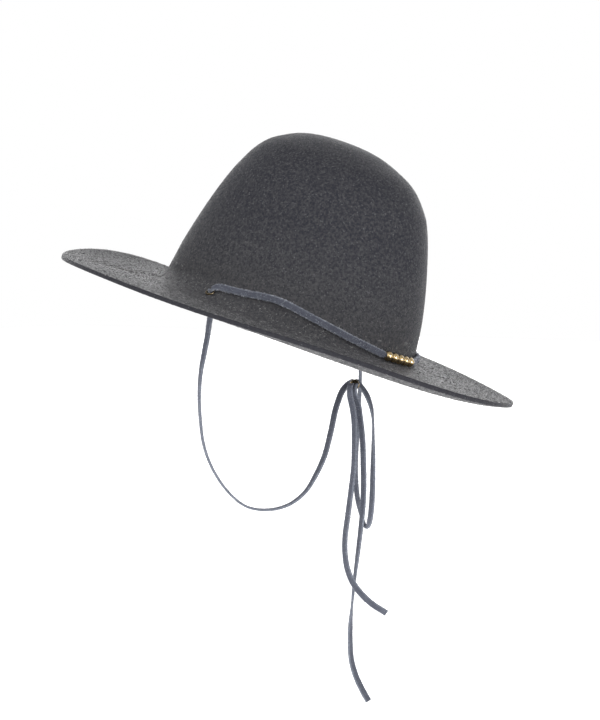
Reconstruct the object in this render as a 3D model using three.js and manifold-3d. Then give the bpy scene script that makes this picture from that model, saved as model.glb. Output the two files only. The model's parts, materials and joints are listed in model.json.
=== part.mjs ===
// A felt hat with an open crown, a wide waved brim, and a flat suede lace that runs round the
// front of the crown through five brass beads, down through an eyelet at each side, and hangs
// as a chin lace with a brass slide bead.
//
// Millimetres, +Z up. The origin is the centre of the head opening, where the hat sits on a head.
// The front looks along -Y and the wearer's right is -X. The hat leans forward and to the wearer's
// left, and the chin laces hang along -Z. A turn is an angle round the hat: 0 at the front, 90 at
// the wearer's left.

import * as THREE from 'three';
import { mergeVertices } from 'three/addons/utils/BufferGeometryUtils.js';
import Module from 'manifold-3d';

const wasm = await Module();
wasm.setup();

const radians = THREE.MathUtils.degToRad;
const lerp = THREE.MathUtils.lerp;

// How the hat is held: forward lean and lean to the wearer's left.
const LEAN = { forward: radians(15.1), left: radians(10.3) };

// Felt thickness, the clear gap between pieces that touch, and the facets round the hat.
const WALL = 2.8;
const GAP = 0.3;
const HAT_FACETS = 60;

// The head's oval where the brim starts: half-width, and how much longer each end is.
const OVAL = { side: 88, longer: 17 };
// The brim's edge, in the same terms, and the corner taken off the cut edge.
const BRIM = { side: 156.2, longer: 27.3, corner: 0.5, steps: 7 };
// The round hollow between brim and crown wall, tighter at front and back than at the sides. It
// turns past upright, to the lean of the wall, which starts from this half-width.
const HOLLOW = { frontRadius: 6.5, sideRadius: 20, sweep: radians(98), side: 86.85, steps: 5 };
const CROWN_STEPS = 11;

// The crown's outer sections: height, half-width at the side, and shift towards the back.
const CROWN = [
  { height: 35, side: 81.8, back: -1.4 },
  { height: 60, side: 76.3, back: -2.3 },
  { height: 85, side: 69.4, back: -2.7 },
  { height: 105, side: 61.6, back: -2.9 },
  { height: 122, side: 50, back: -0.5 },
  { height: 131.7, side: 36, back: 2.1 },
  { height: 137.9, side: 20, back: 4.0 },
  { height: 140, side: 0, back: 4.6 },
];

// The brim's waves: how many in a turn, how high they lift the edge and towards which turn, and
// how much of it curls up at the edge only.
const BRIM_WAVES = [
  { waves: 0, lift: -1.5, toward: 0, curl: 3.8 },
  { waves: 1, lift: 0, toward: 0, curl: 6.4 },
  { waves: 2, lift: 1.6, toward: radians(-24), curl: 7.1 },
  { waves: 3, lift: 1.9, toward: radians(-58), curl: -3.7 },
  { waves: 4, lift: 1.2, toward: radians(-6), curl: 0 },
  { waves: 5, lift: 1.0, toward: radians(27), curl: 0 },
];

// Brass eyelets, each set in the hollow this far round its slope, tipped up from it, at its turn.
const EYELET = { bore: 2.3, barrel: 2.7, flange: 3.6, lip: 0.8, slope: radians(49), tip: radians(10) };
const EYELET_FACETS = 14;
const EYELET_TURN = { right: radians(-91), left: radians(89) };

// Flat suede lace, and how far its sides draw in where it runs through an eyelet or a bead.
const LACE = { width: 4.5, thick: 1.7, corner: 0.4, inEyelet: 0.75, inBead: 0.5, inSlide: 0.64 };

// Round brass beads: five on the crown, and one that slides on both chin laces.
const CROWN_BEAD = { radius: 3.45, bore: 1.6, length: 5.6, facets: 12, arcs: 5 };
const SLIDE_BEAD = { radius: 3.5, bore: 2.6, length: 5.4, facets: 14, arcs: 5 };
// The slide bead's axis tips down to its front, and the laces run this far each side of it.
const SLIDE = { pitch: radians(25), split: 1 };

// The hanging laces are laid out in an upright frame turned by this angle from the hat's front:
// across to the right, toward the viewer, and height.
const HANGING_TURN = radians(-50.5);
const SLIDE_PLACE = { across: 50.2, toward: 10, height: -42.9 };

const felt = new THREE.MeshStandardMaterial({ color: 0x47474b, roughness: 0.95, metalness: 0 });
const suede = new THREE.MeshStandardMaterial({ color: 0x565a66, roughness: 0.9, metalness: 0 });
const brass = new THREE.MeshStandardMaterial({ color: 0xc9a24e, roughness: 0.25, metalness: 1 });

// The crown's shift towards the back at a height.
function shiftAt(height) {
  const rows = [{ height: 0, back: 0 }, ...CROWN];
  const upper = rows.findIndex((row) => row.height >= height);
  if (upper <= 0) return upper === 0 ? rows[0].back : rows[rows.length - 1].back;
  const share = (height - rows[upper - 1].height) / (rows[upper].height - rows[upper - 1].height);
  return lerp(rows[upper - 1].back, rows[upper].back, share);
}

// Puts a point of the round outline in its place on the oval, waved hat.
function shaped(side, turn, height) {
  const out = Math.max(0, (side - OVAL.side) / (BRIM.side - OVAL.side));
  const longer = out > 0
    ? lerp(OVAL.longer, BRIM.longer, out)
    : OVAL.longer * Math.sqrt(Math.max(0, side) / OVAL.side);
  let lift = 0;
  let curl = 0;
  for (const wave of BRIM_WAVES) {
    lift += wave.lift * Math.cos(wave.waves * (turn - wave.toward));
    curl += wave.curl * Math.cos(wave.waves * turn);
  }
  return new THREE.Vector3(
    side * Math.sin(turn),
    shiftAt(height) - (side + longer) * Math.cos(turn),
    height + (lift - curl) * out + curl * out ** 3,
  );
}

// The round hollow of a radius, in the outline's plane: its middle, and where the wall starts.
function hollow(radius) {
  const height = WALL + radius * (1 - Math.cos(HOLLOW.sweep));
  const side = HOLLOW.side + height / Math.tan(HOLLOW.sweep);
  return {
    radius,
    middle: { side: side + radius * Math.sin(HOLLOW.sweep), height: WALL + radius },
    wall: { side, height },
  };
}

// How much of the sides' shape the hollow has at a turn: none at front and back.
function sideShare(turn) {
  return Math.sin(turn) ** 4;
}

// A point off the outer felt by `off`, `up` millimetres up the outline from the brim.
function onFelt(turn, up, off) {
  const { radius, middle } = hollow(lerp(HOLLOW.frontRadius, HOLLOW.sideRadius, sideShare(turn)));
  const angle = Math.min(up / radius, HOLLOW.sweep);
  const past = Math.max(0, up - radius * HOLLOW.sweep);
  return shaped(
    middle.side - (radius - off) * Math.sin(angle) + past * Math.cos(angle),
    turn,
    middle.height - (radius - off) * Math.cos(angle) + past * Math.sin(angle),
  );
}

// The crown's outline from the brim to the pole, drawn in by `inset`.
function crownOutline(inset, hollowRadius) {
  const { radius, middle, wall } = hollow(hollowRadius);
  const points = [];
  for (let step = 0; step < HOLLOW.steps; step += 1) {
    const angle = (step / HOLLOW.steps) * HOLLOW.sweep;
    points.push(new THREE.Vector2(
      middle.side - (radius + inset) * Math.sin(angle),
      middle.height - (radius + inset) * Math.cos(angle),
    ));
  }
  const rows = [wall, ...CROWN].map((row) => new THREE.Vector2(row.side, row.height));
  const beyond = CROWN[CROWN.length - 2];
  const curve = new THREE.SplineCurve([...rows, new THREE.Vector2(-beyond.side, beyond.height)]);
  const pole = (rows.length - 1) / rows.length;
  for (let step = 0; step < CROWN_STEPS; step += 1) {
    const along = (step / CROWN_STEPS) * pole;
    const point = curve.getPoint(along);
    const tangent = curve.getTangent(along);
    points.push(new THREE.Vector2(point.x - inset * tangent.y, point.y + inset * tangent.x));
  }
  points.push(new THREE.Vector2(0, CROWN[CROWN.length - 1].height - inset));
  return points;
}

// The whole wall as one outline: up the inside from the pole to the brim's cut edge, and back.
function feltOutline(hollowRadius) {
  const inner = crownOutline(WALL, hollowRadius);
  const outer = crownOutline(0, hollowRadius);
  const across = (share, start) => lerp(start, BRIM.side, share);
  const under = [];
  const top = [];
  for (let step = 1; step < BRIM.steps; step += 1) {
    const share = step / BRIM.steps;
    under.push(new THREE.Vector2(across(share, inner[0].x), 0));
    top.push(new THREE.Vector2(across(share, outer[0].x), WALL));
  }
  return [
    ...inner.reverse(),
    ...under,
    new THREE.Vector2(BRIM.side - BRIM.corner, 0),
    new THREE.Vector2(BRIM.side, BRIM.corner),
    new THREE.Vector2(BRIM.side, WALL - BRIM.corner),
    new THREE.Vector2(BRIM.side - BRIM.corner, WALL),
    ...top.reverse(),
    ...outer,
  ];
}

// One closed surface with shared vertices.
function welded(geometry) {
  geometry.deleteAttribute('normal');
  geometry.deleteAttribute('uv');
  return mergeVertices(geometry, 1e-4);
}

// An outline turned round +Z, starting at the front.
function turned(outline, facets) {
  const geometry = new THREE.LatheGeometry(outline, facets);
  geometry.rotateX(Math.PI / 2);
  return welded(geometry);
}

function toSolid(geometry) {
  const corners = geometry.index.array;
  const triangles = [];
  for (let i = 0; i < corners.length; i += 3) {
    const [a, b, c] = corners.slice(i, i + 3);
    if (a !== b && b !== c && c !== a) triangles.push(a, b, c);
  }
  return new wasm.Manifold(new wasm.Mesh({
    numProp: 3,
    vertProperties: geometry.attributes.position.array,
    triVerts: Uint32Array.from(triangles),
  }));
}

function toGeometry(solid) {
  const mesh = solid.getMesh();
  const geometry = new THREE.BufferGeometry();
  geometry.setAttribute('position', new THREE.BufferAttribute(mesh.vertProperties, 3));
  geometry.setIndex(new THREE.BufferAttribute(mesh.triVerts, 1));
  geometry.computeVertexNormals();
  return geometry;
}

// The frame of an eyelet: X round the hat, Y up the felt, Z out of it, zero on its surface.
function eyeletFrame(turn) {
  const up = EYELET.slope * lerp(HOLLOW.frontRadius, HOLLOW.sideRadius, sideShare(turn));
  const step = 0.01;
  const round = onFelt(turn + step, up, 0).sub(onFelt(turn - step, up, 0)).normalize();
  const slope = onFelt(turn, up + step, 0).sub(onFelt(turn, up - step, 0)).normalize();
  const out = round.clone().cross(slope).applyAxisAngle(round, -EYELET.tip).normalize();
  slope.copy(out).cross(round);
  return new THREE.Matrix4().makeBasis(round, slope, out).setPosition(onFelt(turn, up, 0));
}

// A plug of the given radius between two heights of an eyelet's frame.
function plug(radius, low, high, frame) {
  const geometry = new THREE.CylinderGeometry(radius, radius, high - low, 20);
  geometry.rotateX(Math.PI / 2);
  geometry.translate(0, 0, (low + high) / 2);
  geometry.applyMatrix4(frame);
  return toSolid(welded(geometry));
}

// The felt body: the outline turned with each hollow, and blended from front to side.
function hatBody() {
  const geometry = turned(feltOutline(HOLLOW.frontRadius), HAT_FACETS);
  const place = geometry.attributes.position;
  const sides = turned(feltOutline(HOLLOW.sideRadius), HAT_FACETS).attributes.position;
  for (let i = 0; i < place.count; i += 1) {
    const turn = Math.atan2(place.getX(i), -place.getY(i));
    const share = sideShare(turn);
    const side = lerp(
      Math.hypot(place.getX(i), place.getY(i)),
      Math.hypot(sides.getX(i), sides.getY(i)),
      share,
    );
    place.setXYZ(i, ...shaped(side, turn, lerp(place.getZ(i), sides.getZ(i), share)));
  }
  let solid = toSolid(geometry);
  for (const turn of Object.values(EYELET_TURN)) {
    const frame = eyeletFrame(turn);
    const reach = 2 * WALL;
    solid = solid.subtract(plug(EYELET.barrel + GAP, -reach, reach, frame));
    solid = solid.subtract(plug(EYELET.flange + GAP, 0, reach, frame));
    solid = solid.subtract(plug(EYELET.flange + GAP, -reach, -WALL, frame));
  }
  return toGeometry(solid);
}

// A rolled flange on each face of the felt and a barrel between them.
function eyelet(turn) {
  const { bore, barrel, flange, lip } = EYELET;
  const top = GAP + lip;
  const bottom = -WALL - GAP - lip;
  const round = lip / 3;
  const outline = [
    [bore, bottom + round],
    [bore + round, bottom],
    [flange - round, bottom],
    [flange, bottom + round],
    [flange, bottom + lip],
    [barrel, bottom + lip],
    [barrel, top - lip],
    [flange, top - lip],
    [flange, top - round],
    [flange - round, top],
    [bore + round, top],
    [bore, top - round],
    [bore, bottom + round],
  ].map(([side, height]) => new THREE.Vector2(side, height));
  const geometry = turned(outline, EYELET_FACETS);
  geometry.applyMatrix4(eyeletFrame(turn));
  return geometry;
}

// A bead drilled along Z: round across, and near enough round along the hole.
function drilledBead({ radius, bore, length, facets, arcs }) {
  const edge = Math.asin(bore / radius);
  const reach = length / 2 / Math.cos(edge);
  const outline = [];
  for (let step = 0; step <= arcs; step += 1) {
    const angle = lerp(Math.PI - edge, edge, step / arcs);
    outline.push(new THREE.Vector2(radius * Math.sin(angle), reach * Math.cos(angle)));
  }
  outline.push(outline[0].clone());
  return turned(outline, facets);
}

// A lace's route: each station has a place, the direction of the lace's width there, and how
// much of the full width it has. Rings stand at equal shares of the stations.
class LaceRoute extends THREE.CatmullRomCurve3 {
  constructor(stations) {
    super(stations.map((station) => station.at), false, 'centripetal');
    this.stations = stations;
  }

  getSpacedPoints(steps) {
    return this.getPoints(steps);
  }

  computeFrenetFrames(steps) {
    const frames = { tangents: [], normals: [], binormals: [] };
    for (let step = 0; step <= steps; step += 1) {
      const place = (step / steps) * (this.stations.length - 1);
      const before = this.stations[Math.floor(place)];
      const after = this.stations[Math.ceil(place)];
      const share = place - Math.floor(place);
      const tangent = this.getTangent(step / steps);
      const wide = before.wide.clone().lerp(after.wide, share);
      wide.addScaledVector(tangent, -wide.dot(tangent)).normalize();
      frames.tangents.push(tangent);
      frames.binormals.push(tangent.clone().cross(wide));
      frames.normals.push(wide.multiplyScalar(lerp(before.width, after.width, share)));
    }
    return frames;
  }
}

// A flat lace along its stations, with so many rings to each stretch between two of them.
function lace(stations, rings) {
  const half = LACE.width / 2;
  const thick = LACE.thick / 2;
  const section = new THREE.Shape([
    [half, thick - LACE.corner],
    [half - LACE.corner, thick],
    [LACE.corner - half, thick],
    [-half, thick - LACE.corner],
    [-half, LACE.corner - thick],
    [LACE.corner - half, -thick],
    [half - LACE.corner, -thick],
    [half, LACE.corner - thick],
  ].map(([x, y]) => new THREE.Vector2(x, y)));
  const geometry = new THREE.ExtrudeGeometry(section, {
    steps: rings * (stations.length - 1),
    bevelEnabled: false,
    extrudePath: new LaceRoute(stations),
  });
  return welded(geometry);
}

// A station in an eyelet's frame, at a height over the felt's outer face.
function inEyelet(turn, height, width) {
  const frame = eyeletFrame(turn);
  return {
    at: new THREE.Vector3(0, 0, height).applyMatrix4(frame),
    wide: new THREE.Vector3().setFromMatrixColumn(frame, 0),
    width,
  };
}

// A station off the outer felt, with the lace's width up the felt, or so far up the hat's axis.
function againstFelt({ turn, up, off = LACE.thick / 2 + GAP + 0.3, width = 1, upright = 0 }) {
  const at = onFelt(radians(turn), up, off);
  const wide = onFelt(radians(turn), up + 1, off).sub(onFelt(radians(turn), up - 1, off));
  wide.normalize().lerp(new THREE.Vector3(0, 0, 1), upright);
  return { at, wide, width };
}

// The crown's lace at the wearer's right, from the eyelet to the beads.
const CROWN_LACE_RIGHT = [
  { turn: -90.1, up: 17.7, off: 2.6, width: 0.8 },
  { turn: -89.4, up: 20.4, off: 2.9, width: 0.9 },
  { turn: -88.1, up: 22.7, off: 2.2 },
  { turn: -85.1, up: 23.7, off: 1.5 },
  { turn: -80.1, up: 24.4 },
  { turn: -75.1, up: 25.1 },
  { turn: -70.1, up: 26 },
  { turn: -64, up: 26.5 },
  { turn: -58, up: 25.1 },
  { turn: -52, up: 22.7 },
  { turn: -45, up: 19.5 },
  { turn: -36.2, up: 16.1, off: 1.6 },
  { turn: -26.7, up: 12.7, off: 1.8 },
  { turn: -17.5, up: 9.7, off: 2.3, upright: 0.3 },
  { turn: -13, up: 7.6, off: 3.1, upright: 0.6 },
];
// The beads on it, each a point of the lace too.
const CROWN_BEADS = [
  { turn: -6.9, up: 4.3 },
  { turn: -3.1, up: 3.7 },
  { turn: 0.8, up: 3.1 },
  { turn: 4.8, up: 2.4 },
  { turn: 8.9, up: 1.7 },
].map((bead) => ({ ...bead, off: 4, width: LACE.inBead, upright: 0.8 }));
// The route through all the beads, in full width up to the first and from the last.
const THROUGH_BEADS = [
  { ...CROWN_BEADS[0], turn: -9.7, up: 5.2, width: 0.95 },
  { ...CROWN_BEADS[0], turn: -8.9, up: 4.9 },
  ...CROWN_BEADS,
  { ...CROWN_BEADS[4], turn: 10.9, up: 1.7 },
  { ...CROWN_BEADS[4], turn: 11.8, up: 2, width: 0.95 },
];
// The same lace on to the eyelet at the wearer's left.
const CROWN_LACE_LEFT = [
  { turn: 15.5, up: 4, off: 3.9, upright: 1 },
  { turn: 20, up: 6.2, off: 3.2, upright: 1 },
  { turn: 26, up: 8, off: 2.6, upright: 1 },
  { turn: 33, up: 8.4, off: 2.3, upright: 1 },
  { turn: 40, up: 9, off: 2.1, upright: 0.8 },
  { turn: 47, up: 10.8, off: 1.9, upright: 0.5 },
  { turn: 54, up: 15, off: 1.6 },
  { turn: 60, up: 18.8 },
  { turn: 66, up: 22.2 },
  { turn: 72, up: 24.3 },
  { turn: 77.6, up: 24.7 },
  { turn: 82, up: 24.2 },
  { turn: 84.6, up: 23.6, off: 1.6 },
  { turn: 86.4, up: 22.5, off: 2.3 },
  { turn: 87.5, up: 20.4, off: 2.9, width: 0.9 },
  { turn: 88.1, up: 17.7, off: 2.6, width: 0.8 },
];

// The chin laces' hanging stretches. `face` turns the lace's width, in degrees, from flat on to
// the viewer towards edge on.
const RIGHT_LOOP = [
  { across: -52.6, toward: 64.4, height: 13, face: 139 },
  { across: -53.7, toward: 66, height: 5, face: 135 },
  { across: -55.2, toward: 66.5, height: -5.8, face: 135 },
  { across: -57.6, toward: 67, height: -18.5, face: 129 },
  { across: -59.9, toward: 67, height: -31.2, face: 115 },
  { across: -61, toward: 66.5, height: -48.2, face: 106 },
  { across: -60.2, toward: 65.5, height: -65.3, face: 102 },
  { across: -58, toward: 63.5, height: -82.4, face: 100 },
  { across: -51.9, toward: 60, height: -99.8, face: 98 },
  { across: -40.5, toward: 54, height: -117.4, face: 96 },
  { across: -27.9, toward: 49, height: -127.9, face: 94 },
  { across: -13, toward: 44, height: -130.8, face: 90 },
  { across: 2.4, toward: 38, height: -127.6, face: 82 },
  { across: 13.7, toward: 33, height: -119.4, face: 73 },
  { across: 20.8, toward: 29, height: -109, face: 62 },
  { across: 27.9, toward: 24.5, height: -94.2, face: 50 },
  { across: 32.6, toward: 19, height: -77.1, face: 46 },
  { across: 36.5, toward: 12, height: -60.1, face: 40 },
  { across: 41.3, toward: 6.5, height: -47.9, face: 32 },
  { across: 45.4, toward: 4.2, height: -43, face: 20, width: 0.85 },
];
const RIGHT_TAIL = [
  { across: 47.2, toward: 15.2, height: -45.4, face: -55, width: 0.8 },
  { across: 46.3, toward: 15.9, height: -48.4, face: -36 },
  { across: 46.8, toward: 16, height: -51.8, face: -30 },
  { across: 48, toward: 16, height: -57, face: -32 },
  { across: 49.7, toward: 16, height: -68.7, face: -40 },
  { across: 49.9, toward: 16, height: -86.2, face: -47 },
  { across: 49.3, toward: 16, height: -103.6, face: -51 },
  { across: 47.5, toward: 16, height: -119.6, face: -48 },
  { across: 45.1, toward: 16, height: -138.5, face: -45 },
  { across: 43.2, toward: 16, height: -153.1, face: -47 },
  { across: 43.1, toward: 16, height: -164.8, face: -45 },
  { across: 45.2, toward: 16.5, height: -177.8, face: -36 },
  { across: 50.6, toward: 17, height: -189.4, face: -20 },
  { across: 61.4, toward: 17.5, height: -201, face: -20 },
  { across: 73.2, toward: 18, height: -208.7, face: -24 },
];
const LEFT_LOOP = [
  { across: 54.4, toward: -62, height: -17, face: -60 },
  { across: 56.2, toward: -62, height: -34, face: -77 },
  { across: 55.9, toward: -62, height: -51.5, face: -73 },
  { across: 54.9, toward: -62, height: -68.1, face: -69 },
  { across: 54, toward: -61, height: -86.2, face: -66 },
  { across: 52.8, toward: -59, height: -105.6, face: -60 },
  { across: 53, toward: -54, height: -123.3, face: -50 },
  { across: 54.6, toward: -47, height: -135.4, face: -60 },
  { across: 57, toward: -39, height: -144.4, face: -75 },
  { across: 60, toward: -27, height: -150, face: -95 },
  { across: 61.9, toward: -16, height: -145.6, face: -120 },
  { across: 63, toward: -9, height: -135.3, face: -135 },
  { across: 63.6, toward: -4, height: -123, face: -133 },
  { across: 63.8, toward: -1, height: -109.5, face: -128 },
  { across: 64, toward: 1, height: -96.1, face: -116 },
  { across: 64, toward: 2.5, height: -82.8, face: -99 },
  { across: 63.7, toward: 3.5, height: -68.9, face: -85 },
  { across: 62.6, toward: 4, height: -60.8, face: -67 },
  { across: 59.4, toward: 4.3, height: -51.4, face: -46 },
  { across: 55, toward: 4.4, height: -44.6, face: -30, width: 0.8 },
];
const LEFT_TAIL = [
  { across: 49.6, toward: 13.6, height: -47.6, face: 118, width: 0.85 },
  { across: 50.6, toward: 12.9, height: -51.4, face: 135 },
  { across: 52.5, toward: 11.8, height: -57, face: 146 },
  { across: 53.8, toward: 10.5, height: -64.8, face: 148 },
  { across: 55.9, toward: 9.5, height: -82.3, face: 140 },
  { across: 56.6, toward: 9, height: -99.8, face: 137 },
  { across: 56.8, toward: 9, height: -117.4, face: 137 },
  { across: 56.2, toward: 9, height: -133.4, face: 132 },
  { across: 54.6, toward: 9, height: -149.5, face: 123 },
  { across: 52.5, toward: 9, height: -167, face: 115 },
  { across: 50.3, toward: 9, height: -184.6, face: 101 },
  { across: 48.6, toward: 9, height: -202.2, face: 90 },
  { across: 47.3, toward: 9, height: -218.3, face: 61 },
  { across: 47.2, toward: 9, height: -231.5, face: 53 },
  { across: 47.9, toward: 9, height: -243.2, face: 46 },
  { across: 50.9, toward: 9.5, height: -254.9, face: 40 },
  { across: 56.2, toward: 10, height: -266.5, face: 32 },
  { across: 60.5, toward: 10.5, height: -274.1, face: 30 },
];

// From the hanging frame to the part's own.
function hangingPoint(across, toward, height) {
  return new THREE.Vector3(
    across * Math.cos(HANGING_TURN) + toward * Math.sin(HANGING_TURN),
    across * Math.sin(HANGING_TURN) - toward * Math.cos(HANGING_TURN),
    height,
  );
}

// Stations of a hanging stretch, each with its width turned about the stretch's direction there.
function hanging(rows) {
  const places = rows.map(({ across, toward, height }) => hangingPoint(across, toward, height));
  const viewer = hangingPoint(0, 1, 0);
  return rows.map(({ face, width = 1 }, i) => {
    const next = places[Math.min(i + 1, rows.length - 1)];
    const along = next.clone().sub(places[Math.max(i - 1, 0)]);
    const wide = along.cross(viewer).normalize().multiplyScalar(Math.cos(radians(face)));
    wide.addScaledVector(viewer, Math.sin(radians(face)));
    return { at: places[i], wide, width };
  });
}

// Stations through the slide bead, from behind it to its front, on one side of its axis.
function throughSlideBead(sense) {
  const reach = SLIDE_BEAD.length / 2 + 0.2;
  return [-reach - 1.6, -reach, 0, reach].map((along) => ({
    at: hangingPoint(
      SLIDE_PLACE.across + sense * (SLIDE.split + Math.max(0, -reach - along) / 3),
      SLIDE_PLACE.toward + along * Math.cos(SLIDE.pitch),
      SLIDE_PLACE.height - along * Math.sin(SLIDE.pitch),
    ),
    wide: hangingPoint(0, sense * Math.sin(SLIDE.pitch), sense * Math.cos(SLIDE.pitch)),
    width: LACE.inSlide,
  }));
}

const hat = new THREE.Group();
hat.rotation.set(LEAN.forward, LEAN.left, 0, 'YXZ');
hat.updateMatrixWorld();

// A chin lace starts inside its eyelet, just under the end of the crown's lace.
const MIDDLE = -WALL / 2;
const MOUTH = -WALL - GAP - EYELET.lip;
function chinLace(turn, loop, sense, tail) {
  const start = [
    inEyelet(turn, MIDDLE - GAP / 2, LACE.inEyelet),
    inEyelet(turn, MOUTH - 0.6, LACE.inEyelet),
  ].map(({ at, wide, width }) => ({
    at: at.applyMatrix4(hat.matrixWorld),
    wide: wide.transformDirection(hat.matrixWorld),
    width,
  }));
  return lace([...start, ...hanging(loop), ...throughSlideBead(sense), ...hanging(tail)], 1);
}

function crownLace() {
  return lace([
    inEyelet(EYELET_TURN.right, MIDDLE + GAP / 2, LACE.inEyelet),
    inEyelet(EYELET_TURN.right, GAP + EYELET.lip, LACE.inEyelet),
    ...CROWN_LACE_RIGHT.map(againstFelt),
    ...THROUGH_BEADS.map(againstFelt),
    ...CROWN_LACE_LEFT.map(againstFelt),
    inEyelet(EYELET_TURN.left, GAP + EYELET.lip, LACE.inEyelet),
    inEyelet(EYELET_TURN.left, MIDDLE + GAP / 2, LACE.inEyelet),
  ], 2);
}

function add(group, name, geometry, material) {
  const mesh = new THREE.Mesh(geometry, material);
  mesh.name = name;
  group.add(mesh);
  return mesh;
}

const part = new THREE.Group();
part.add(hat);

add(hat, 'hat_body', hatBody(), felt);
add(hat, 'eyelet_right', eyelet(EYELET_TURN.right), brass);
add(hat, 'eyelet_left', eyelet(EYELET_TURN.left), brass);
add(hat, 'crown_lace', crownLace(), suede);

const beadPlaces = THROUGH_BEADS.slice(1, -1).map((place) => againstFelt(place).at);
CROWN_BEADS.forEach((_, i) => {
  const bead = add(hat, `crown_bead_${i + 1}`, drilledBead(CROWN_BEAD), brass);
  const along = beadPlaces[i + 2].clone().sub(beadPlaces[i]).normalize();
  bead.position.copy(beadPlaces[i + 1]);
  bead.quaternion.setFromUnitVectors(new THREE.Vector3(0, 0, 1), along);
});

add(part, 'chin_lace_right', chinLace(EYELET_TURN.right, RIGHT_LOOP, -1, RIGHT_TAIL), suede);
add(part, 'chin_lace_left', chinLace(EYELET_TURN.left, LEFT_LOOP, 1, LEFT_TAIL), suede);

const slide = add(part, 'slide_bead', drilledBead(SLIDE_BEAD), brass);
slide.position.copy(hangingPoint(...Object.values(SLIDE_PLACE)));
slide.quaternion.setFromUnitVectors(
  new THREE.Vector3(0, 0, 1),
  hangingPoint(0, Math.cos(SLIDE.pitch), -Math.sin(SLIDE.pitch)),
);

export default part;
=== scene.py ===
"""A felt hat with a beaded suede lace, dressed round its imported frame.

Metres, +Z up. The hat's own frame stands on the head opening, and leans forward and to the
wearer's left from there. A turn is an angle round the hat: 0 at the front, and 90 degrees at the
wearer's left.
"""

from __future__ import annotations

import json
import logging
import math
from dataclasses import dataclass
from enum import Enum
from typing import Iterable, Sequence

import bmesh
import bpy
from mathutils import Matrix, Vector, noise

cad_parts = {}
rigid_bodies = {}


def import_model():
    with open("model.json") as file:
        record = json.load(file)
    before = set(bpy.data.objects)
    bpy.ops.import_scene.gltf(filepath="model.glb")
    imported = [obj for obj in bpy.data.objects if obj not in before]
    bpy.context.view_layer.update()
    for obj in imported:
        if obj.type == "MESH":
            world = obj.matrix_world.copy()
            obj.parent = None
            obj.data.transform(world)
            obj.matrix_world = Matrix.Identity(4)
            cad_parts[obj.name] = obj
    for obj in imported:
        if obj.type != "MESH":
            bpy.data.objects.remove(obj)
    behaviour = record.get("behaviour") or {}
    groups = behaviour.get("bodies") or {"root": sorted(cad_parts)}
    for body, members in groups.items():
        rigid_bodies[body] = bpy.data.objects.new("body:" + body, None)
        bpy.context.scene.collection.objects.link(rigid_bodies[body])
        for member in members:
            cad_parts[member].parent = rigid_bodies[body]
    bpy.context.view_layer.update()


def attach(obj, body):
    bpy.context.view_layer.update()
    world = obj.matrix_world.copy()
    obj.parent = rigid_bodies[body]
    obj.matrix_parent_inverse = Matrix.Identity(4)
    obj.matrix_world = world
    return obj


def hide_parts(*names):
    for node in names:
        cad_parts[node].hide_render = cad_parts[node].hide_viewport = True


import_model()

log = logging.getLogger("felt_hat")

BODY = "root"
LEAN_FORWARD = math.radians(15.1)
LEAN_LEFT = math.radians(10.3)
LEAN = Matrix.Rotation(LEAN_LEFT, 4, "Y") @ Matrix.Rotation(LEAN_FORWARD, 4, "X")
WALL = 0.0028
GAP = 0.0003
# A small step along a line, for the way that it runs there.
NUDGE = 1e-4
# Places nearer than this count as the same.
CLOSE = 1e-5
# Vertices nearer than this are merged.
MERGED = 1e-6

Colour = tuple[float, float, float, float]
WHITE: Colour = (1, 1, 1, 1)
Material = bpy.types.Material
Socket = bpy.types.NodeSocket


class Side(Enum):
    """A wearer's side, with the turn of the eyelet there."""

    RIGHT = -91.0
    LEFT = 89.0

    @property
    def turn(self) -> float:
        """The eyelet's turn, in radians."""
        return math.radians(self.value)


class Slot(Enum):
    """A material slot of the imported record."""

    FELT = "felt"
    SUEDE = "suede"
    BRASS = "brass"


def lerp(a: float, b: float, share: float) -> float:
    """The number that lies this share of the way from a to b."""
    return a + (b - a) * share


class NodeMaker:
    """Adds and links the nodes of one tree."""

    def __init__(self, tree: bpy.types.NodeTree) -> None:
        """Takes up a tree."""
        self.tree = tree

    def add(
        self, kind: str, inputs: dict[str | int, object] | None = None, **settings: object
    ) -> bpy.types.Node:
        """Adds a node.

        Args:
            kind: The node's type.
            inputs: Values or output sockets for its inputs, by name or place.
            settings: Values for its own settings.

        Returns:
            The new node.
        """
        node = self.tree.nodes.new(kind)
        for name, value in settings.items():
            setattr(node, name, value)
        for name, value in (inputs or {}).items():
            self.feed(node.inputs[name], value)
        return node

    def feed(self, socket: Socket, value: object) -> None:
        """Links an output to a socket, or sets the socket's own value.

        Args:
            socket: The input to feed.
            value: An output socket, or a value.
        """
        if isinstance(value, Socket):
            self.tree.links.new(value, socket)
        else:
            socket.default_value = value

    def ramp(
        self, value: Socket, low: float, high: float, start: float = 0.0, end: float = 1.0
    ) -> Socket:
        """The value, spread smoothly so that low gives the start and high gives the end.

        Args:
            value: The value to spread.
            low: Where it starts to rise.
            high: Where it is full.
            start: What low and all below it give.
            end: What high and all above it give.

        Returns:
            The spread value.
        """
        return self.add(
            "ShaderNodeMapRange",
            {"Value": value, "From Min": low, "From Max": high, "To Min": start, "To Max": end},
            interpolation_type="SMOOTHSTEP",
        ).outputs[0]

    def math(self, operation: str, *values: object) -> Socket:
        """A sum, product or other operation on values."""
        inputs = dict(enumerate(values))
        return self.add("ShaderNodeMath", inputs, operation=operation).outputs[0]

    def along(self, vector: Socket, way: Vector) -> Socket:
        """How far a vector goes one way."""
        inputs = {0: vector, 1: way}
        return self.add("ShaderNodeVectorMath", inputs, operation="DOT_PRODUCT").outputs["Value"]


@dataclass(frozen=True)
class Pattern:
    """A noise pattern, and the part of its range that fades from none to all."""

    scale: float
    detail: float = 0.0
    roughness: float = 0.5
    low: float = 0.0
    high: float = 1.0


@dataclass(frozen=True)
class Relief:
    """How high a pattern stands, in metres, and how much of it shows."""

    distance: float
    strength: float


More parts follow.
